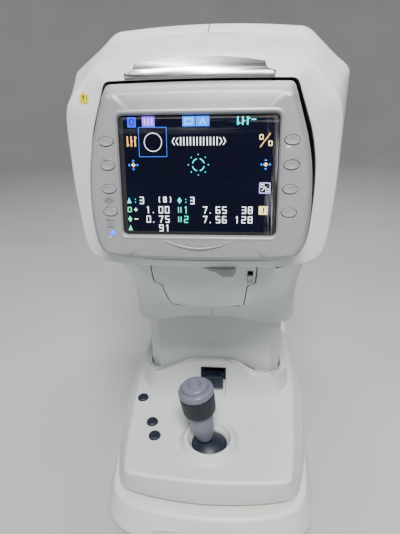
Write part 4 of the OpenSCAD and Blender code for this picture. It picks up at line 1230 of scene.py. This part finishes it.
def stage_shell():
    def ring(points, z, t=0.0):
        return plan_ring(points, z, DECK_R, t)
    rings = [ring(DECK_BOTTOM, 46.5, 2.6), ring(DECK_BOTTOM, 46.5), ring(DECK_MID, 60), ring(DECK_TOP, 79.6),
             ring(DECK_TOP, DECK_Z, 2.6), ring(DECK_TOP, DECK_Z, 9.0)]
    deck = skin("deck", soften(rings, [0, 0.8, 2.2, 0.8, 0.8, 0]), caps=BOTH, angle=50)
    inside = [ring(DECK_BOTTOM, 40, 2.6), ring(DECK_BOTTOM, 46.5, 2.6), ring(DECK_MID, 60, 2.6),
              ring(DECK_TOP, DECK_Z - 2.6, 2.8)]
    hollow = skin("hollow", inside, caps=BOTH)
    column = [(0, -70), (73.8, -70), (89.5, -51.5), (89.5, 46), (75, 61), (0, 61)]
    opening = plan_ring(column, 60, [4, 4, 3, 3, 3, 4], centre=(0.0, 0.0))
    opening_up = opening.copy()
    opening_up[:, 2] = 150
    well = skin("well", [opening, opening_up], caps=BOTH)
    bores = [(0, STICK_Y, 21.2, 96)]
    for node in DECK_BUTTONS:
        x, y, _ = sum(mm_box(node)) / 2
        bores.append((x, y, 7.35, 48))
    holes = [lathe("bore", [(0, 60), (r, 60), (r, 90), (0, 90)], "white_plastic", at(x, y, 0), seg)
             for x, y, r, seg in bores]
    carve(deck, [hollow, copy_of(well)] + holes, angle=45)
    # collar with the leaning front wall that rises to the arch over the lock lever
    cr = [10, 24, 3.0, 3.0, 10, 8, 8]
    brim, shelf = arched(plan_ring(COLLAR_UP, COLLAR_Z, cr)), arched(plan_ring(COLLAR_UP, COLLAR_Z, cr, 8.0))
    bottom = shelf * [0.85, 0.85, 0] + [0, 0, 96]
    c_rings = [plan_ring(COLLAR, 80.5, cr), plan_ring(COLLAR, 82.2, cr), brim, shelf, bottom]
    collar = skin("collar", soften(c_rings, [0, 0.8, 1.7, 0.6, 0], 6), caps=BOTH, angle=50)
    slot = block("slot", (-17, -98, 101.7), (16.4, -50, 121.8))
    nose = block("nose", (-50, -84, 76), (50, -60, 98))
    lean = math.degrees(math.atan(WALL_LEAN))
    # slit of the seam from the lever slot down to the deck; its walls take the near-black material, painted shade
    # in the slit
    seam = block("seam", (-0.3, -3, -4), (0.3, 1.1, 21.5), "gap_black", place=at(16.2, -91.2, 82, rx=-lean))
    carve(collar, [copy_of(well), slot, nose], angle=45)
    carve(collar, [seam], angle=45)
    bevelled(collar, 0.5, 2, 55)
    bpy.data.objects.remove(well)
    # joystick ring
    ring_profile = rounded([(20.6, 76), (36.2, 81.6), (34.2, 82.6), (31.2, 86.2), (28.6, 90.3), (25.2, 90.6),
                            (22.6, 84.6), (20.6, 81.2)], [0.1, 0.4, 1.6, 1.6, 1.4, 1.4, 1.5, 0.6])
    stick_ring = lathe("stick_ring", ring_profile, "white_plastic", at(0, STICK_Y, 0), 120, 50, True)
    shell = joined("stage_shell", [deck, collar, stick_ring], 40)
    for polygon in shell.data.polygons:
        if abs(polygon.normal.z) > 0.99999:
            polygon.use_smooth = False
    place(shell, "stage", "white_plastic", "stage_cover")


def deck_buttons():
    for node in DECK_BUTTONS:
        low, high = mm_box(node)
        (x, y, _), foot, top, r = (low + high) / 2, low[2], high[2], 6.9
        profile = [(0, foot), (r + 1.5, foot), (r + 1.5, foot + 2.6), (r, foot + 2.9), (r, top - 1.7),
                   (r - 0.15, top - 1.1), (r - 0.6, top - 0.5), (r - 1.5, top - 0.12), (r - 2.3, top),
                   (r - 2.9, top - 0.2), (r - 4.2, top - 0.42), (0, top - 0.5)]
        button = lathe(node.replace("deck_button", "push"), profile, "navy_plastic", at(x, y, 0), 56, 40)
        place(button, BODY[node], "navy_plastic", node)


# ---------------------------------------------------------------- joystick
STEM = ([(3.6, 29.8), (6.6, 29.8), (9.6, 32.6), (10.8, 38), (12.4, 46), (13.6, 58), (14.2, 70), (14.2, 72.5),
         (3.6, 72.5)], [0.1, 1.8, 3, 4, 5, 5, 3, 0.3, 0.1])
CAP = ([(0, 72.9), (12, 72.9), (12, 96.2), (19.4, 96.2), (19.8, 97.6), (19.75, 100.6), (18.6, 103.0),
        (15.9, 103.7), (15.4, 103.2), (14.9, 104.0), (14.75, 106.6), (13.6, 107.9), (11, 108.4), (7.2, 108.6),
        (6.75, 108.2), (6.75, 100.2), (0, 100.2)],
       [0, 0.3, 0.3, 0.5, 0.9, 1.6, 1.2, 0.3, 0.2, 0.3, 0.9, 1.0, 1.5, 0.3, 0.2, 0.2, 0])
START = ([(0, 102), (6.4, 102), (6.4, 108.3), (5.7, 108.9), (3, 109.05), (0, 109.1)],
         [0, 0.2, 0.4, 0.6, 1.5, 0])
BAND = ([(12.1, 73.0), (14.7, 73.0), (14.7, 71.6), (17.2, 71.6), (18.4, 72.7), (18.7, 76), (19.2, 84),
         (19.65, 93.5), (19.3, 95.8), (12.1, 95.8)], [0.1, 0.2, 0.3, 0.8, 0.9, 2, 6, 1.6, 0.5, 0.1])
DOME_HOLE, DOME_OUT, DOME_IN = 3.62, 28.9, 27.3


def joystick():
    """The stick leans to its rest angle about the side joint; each part is turned about the stick's axis."""
    lean = at(0, STICK_Y, JOINTS["stick_side"]["pos_m"][2] / MM, ry=-8)
    dome = [(DOME_HOLE, math.sqrt(DOME_OUT ** 2 - DOME_HOLE ** 2))]
    dome += [(DOME_OUT * math.sin(t), DOME_OUT * math.cos(t)) for t in np.linspace(0.18, 1.02, 24)]
    dome += [(DOME_IN * math.sin(t), DOME_IN * math.cos(t)) for t in np.linspace(1.0, 0.18, 24)]
    dome += [(DOME_HOLE, math.sqrt(DOME_IN ** 2 - DOME_HOLE ** 2))]
    for name, node, profile, look, seg, angle, closed in (
            ("stick_stem", "joystick_stem", rounded(*STEM), "grey_plastic", 72, 35, True),
            ("stick_cap", "joystick_cap", rounded(*CAP, closed=False), "grey_plastic", 96, 30, False),
            ("stick_start", "start_button", rounded(*START, closed=False), "grey_plastic", 64, 30, False),
            ("stick_height_ring", "height_ring", rounded(*BAND, 6), "band", 96, 40, True),
            ("stick_dome", "joystick_dome", dome, "navy_plastic", 96, 60, True)):
        slot = "black_plastic" if look == "band" else look
        place(lathe(name, profile, look, lean, seg, angle, closed), BODY[node], slot, node)


# ---------------------------------------------------------------- base
BASE_LOW = [(0, -247), (30, -246), (60, -241), (85, -234), (103, -224), (115, -211), (122, -192), (125, -165),
            (125, 213), (121, 233), (108, 245), (0, 245)]
BASE_HIGH = [(0, -234), (30, -233), (60, -229), (83, -223), (98, -215), (107, -204), (112, -188), (117, -150),
             (120, 208), (116, 226), (104, 238), (0, 238)]
BASE_R = [20, 20, 20, 14, 12, 10, 12, 20, 20, 12, 12, 12]


def base_shell():
    def ring(points, z, t=0.0):
        return plan_ring(points, z, BASE_R, t, (0.0, 0.0), 420)
    rings = [ring(BASE_LOW, 2.6, 5.5), ring(BASE_LOW, 2.6, 1.6), ring(BASE_LOW, 8.0), ring(BASE_HIGH, 38.6),
             ring(BASE_HIGH, 41.0, 3.0), ring(BASE_HIGH, 41.0, 14.0)]
    rings = soften(rings, [0, 1.2, 2.5, 1.3, 1.3, 0], 5)
    outer = skin("base_outer", rings, "base_plastic", caps=BOTH, angle=60)
    inner = [ring(BASE_LOW, 1, 5.5), ring(BASE_LOW, 8, 5.5), ring(BASE_HIGH, 35, 4.5),
             ring(BASE_HIGH, 38.5, 7.2)]
    cuts = [skin("base_inner", inner, "base_plastic", caps=BOTH)]
    # arched recess in the front: the upper cap of a disc of radius 70
    arc = [(70 * math.cos(t), -42 + 70 * math.sin(t))
           for t in np.linspace(0, 2 * math.pi, 160, endpoint=False)]
    disc = [p for p in arc if p[1] > 8.9] + [(-48.4, 9.0), (48.4, 9.0)]
    disc = sorted(disc, key=lambda p: math.atan2(p[1] - 12, p[0]))
    # the opening under the stage, two for inlet and switch, three at the rear, seven on the side
    holes = [((-66, -105, 20), (66, 85, 60)), ((-84, 233, 11), (-55.4, 253, 32.2)),
             ((-42.3, 233, 13), (-28.7, 253, 32.6))]
    holes += [((x, 242, 15), (x + 14, 262, 27)) for x in (30, 52, 74)]
    holes += [((90, y, 15), (150, y + 5, 27)) for y in range(-40, 41, 12)]
    blocks = [block("hole", low, high, "base_plastic") for low, high in holes]
    cuts += [blocks[0], prism("recess", disc, 241.5, 262, "base_plastic", FORWARD)] + blocks[1:]
    carve(outer, cuts, angle=45)
    wall = block("recess_wall", (-58, -238.6, 8.2), (58, -237, 26), "base_plastic")
    shell = joined("base_shell", [outer, wall], 40)
    bevelled(shell, 0.6, 2, 55)
    place(shell, "base", "white_plastic", "base_housing")


# ---------------------------------------------------------------- CAD nodes shown as they are
# material and bevel for the ones that show; the rest have the material of their slot
EXTRA = {"column_cover": ("white_plastic", 0.5), "chin_tower": ("white_plastic", 2.0),
         "face_frame": ("white_plastic", 1.6), "forehead_pad": ("soft_grey", 1.2),
         "chin_slider": ("steel", 0.5), "chin_cup": ("white_plastic", 0.8),
         "lever_liner": ("navy_plastic", 0.5), "lock_lever": ("navy_plastic", 1.0),
         "nozzle": ("aluminium", 0.4), "rear_panel": ("black_plastic", 0.5),
         "inlet_socket": ("black_plastic", 0.4), "power_switch": ("black_plastic", 0.5),
         "rubber_feet": ("rubber", 0.6), "base_plate": ("steel", 0.3),
         "measuring_unit": ("black_plastic", 1.0), "paper_roll": ("paper", 0.3),
         "window_glass": ("glass", 0.1)}


def carried_over():
    slot_of = {}
    for part in RECORD["subparts"]:
        slot_of[part.get("node") or part.get("name")] = part.get("material_slot") or part.get("material")
    for name, obj in frame["nodes"].items():
        if obj.hide_render:
            continue
        key, bevel = EXTRA.get(name, (slot_of.get(name), 0.0))
        if key not in MATS:
            key = "steel"
        obj.data.materials.clear()
        obj.data.materials.append(MATS[key])
        if bevel:
            bevelled(obj, bevel, 3, 34, weld=True)


# ---------------------------------------------------------------- stage set: floor, light, camera
def studio():
    m = Nodes("studio_floor")
    m.tone(m.noise(3.0, 2.0), 0.3, 0.7, (0.40, 0.405, 0.41), (0.44, 0.445, 0.45))
    m.rough(m.noise(40.0, 3.0), 0.3, 0.7, 0.5, 0.62)
    MATS["floor"] = m.material
    # a floor that curves up into a backdrop
    cove = [(0.01, -0.4), (900, -0.4), (2200, -0.4), (2520, 40), (2800, 170), (3020, 400), (3160, 720),
            (3200, 1100), (3200, 3000)]
    lathe("floor", cove, "floor", angle=60)
    world = bpy.data.worlds.new("world")
    world.use_nodes = True
    sky = world.node_tree.nodes["Background"].inputs
    sky["Color"].default_value, sky["Strength"].default_value = (0.80, 0.86, 0.95, 1.0), 0.07
    bpy.context.scene.world = world
    for name, pos, aim, size, power, color in (
            ("key", (0.15, -1.2, 1.8), (0.0, -0.1, 0.25), (0.55, 0.45), 62.0, (1.0, 0.99, 0.975)),
            ("rear_overhead", (0.1, 0.5, 2.1), (0.0, 0.0, 0.35), (1.0, 0.8), 34.0, (0.97, 0.98, 1.0)),
            ("left_window", (-1.9, -0.7, 1.1), (0.0, -0.1, 0.3), (0.9, 1.0), 3.5, (0.95, 0.98, 1.0))):
        light = bpy.data.lights.new(name, "AREA")
        light.shape, light.energy, light.color = "RECTANGLE", power, color
        light.size, light.size_y = size
        obj = linked(name, light)
        obj.location = pos
        obj.rotation_mode = "QUATERNION"
        obj.rotation_quaternion = (Vector(aim) - Vector(pos)).to_track_quat("-Z", "Y")


# yaw, pitch and roll in degrees, place in metres, focal length in millimetres
CAMERA_TURN, CAMERA_PLACE, LENS = (5.84, 24.02, 1.31), (0.0309, -0.5283, 0.4667), 28.2


def camera():
    yaw, pitch, roll = (math.radians(v) for v in CAMERA_TURN)
    cp, sp, cr, sr = math.cos(pitch), math.sin(pitch), math.cos(roll), math.sin(roll)
    b = np.array([[1, 0, 0], [0, 0, -1], [0, 1, 0]], float)
    rx = np.array([[1, 0, 0], [0, cp, sp], [0, -sp, cp]])
    rr = np.array([[cr, -sr, 0], [sr, cr, 0], [0, 0, 1]])
    rz = np.array([[math.cos(yaw), -math.sin(yaw), 0], [math.sin(yaw), math.cos(yaw), 0], [0, 0, 1]])
    axes = rz @ rx @ b.T @ rr
    data = bpy.data.cameras.new("camera")
    data.lens, data.sensor_width = LENS, 36.0
    cam = linked("camera", data)
    m = Matrix.Identity(4)
    for row in range(3):
        m[row][0], m[row][1], m[row][2] = axes[row, 0], -axes[row, 1], -axes[row, 2]
    m.translation = Vector(CAMERA_PLACE)
    cam.matrix_world = m
    bpy.context.scene.camera = cam


camera()
studio()
front_cover()
side_covers()
printer()
paper_strip()
printer_module()
screen_frame()
keys()
screen()
screen_graphics()
name_plate()
sticker()
key_icons()
stage_shell()
deck_buttons()
joystick()
base_shell()
carried_over()
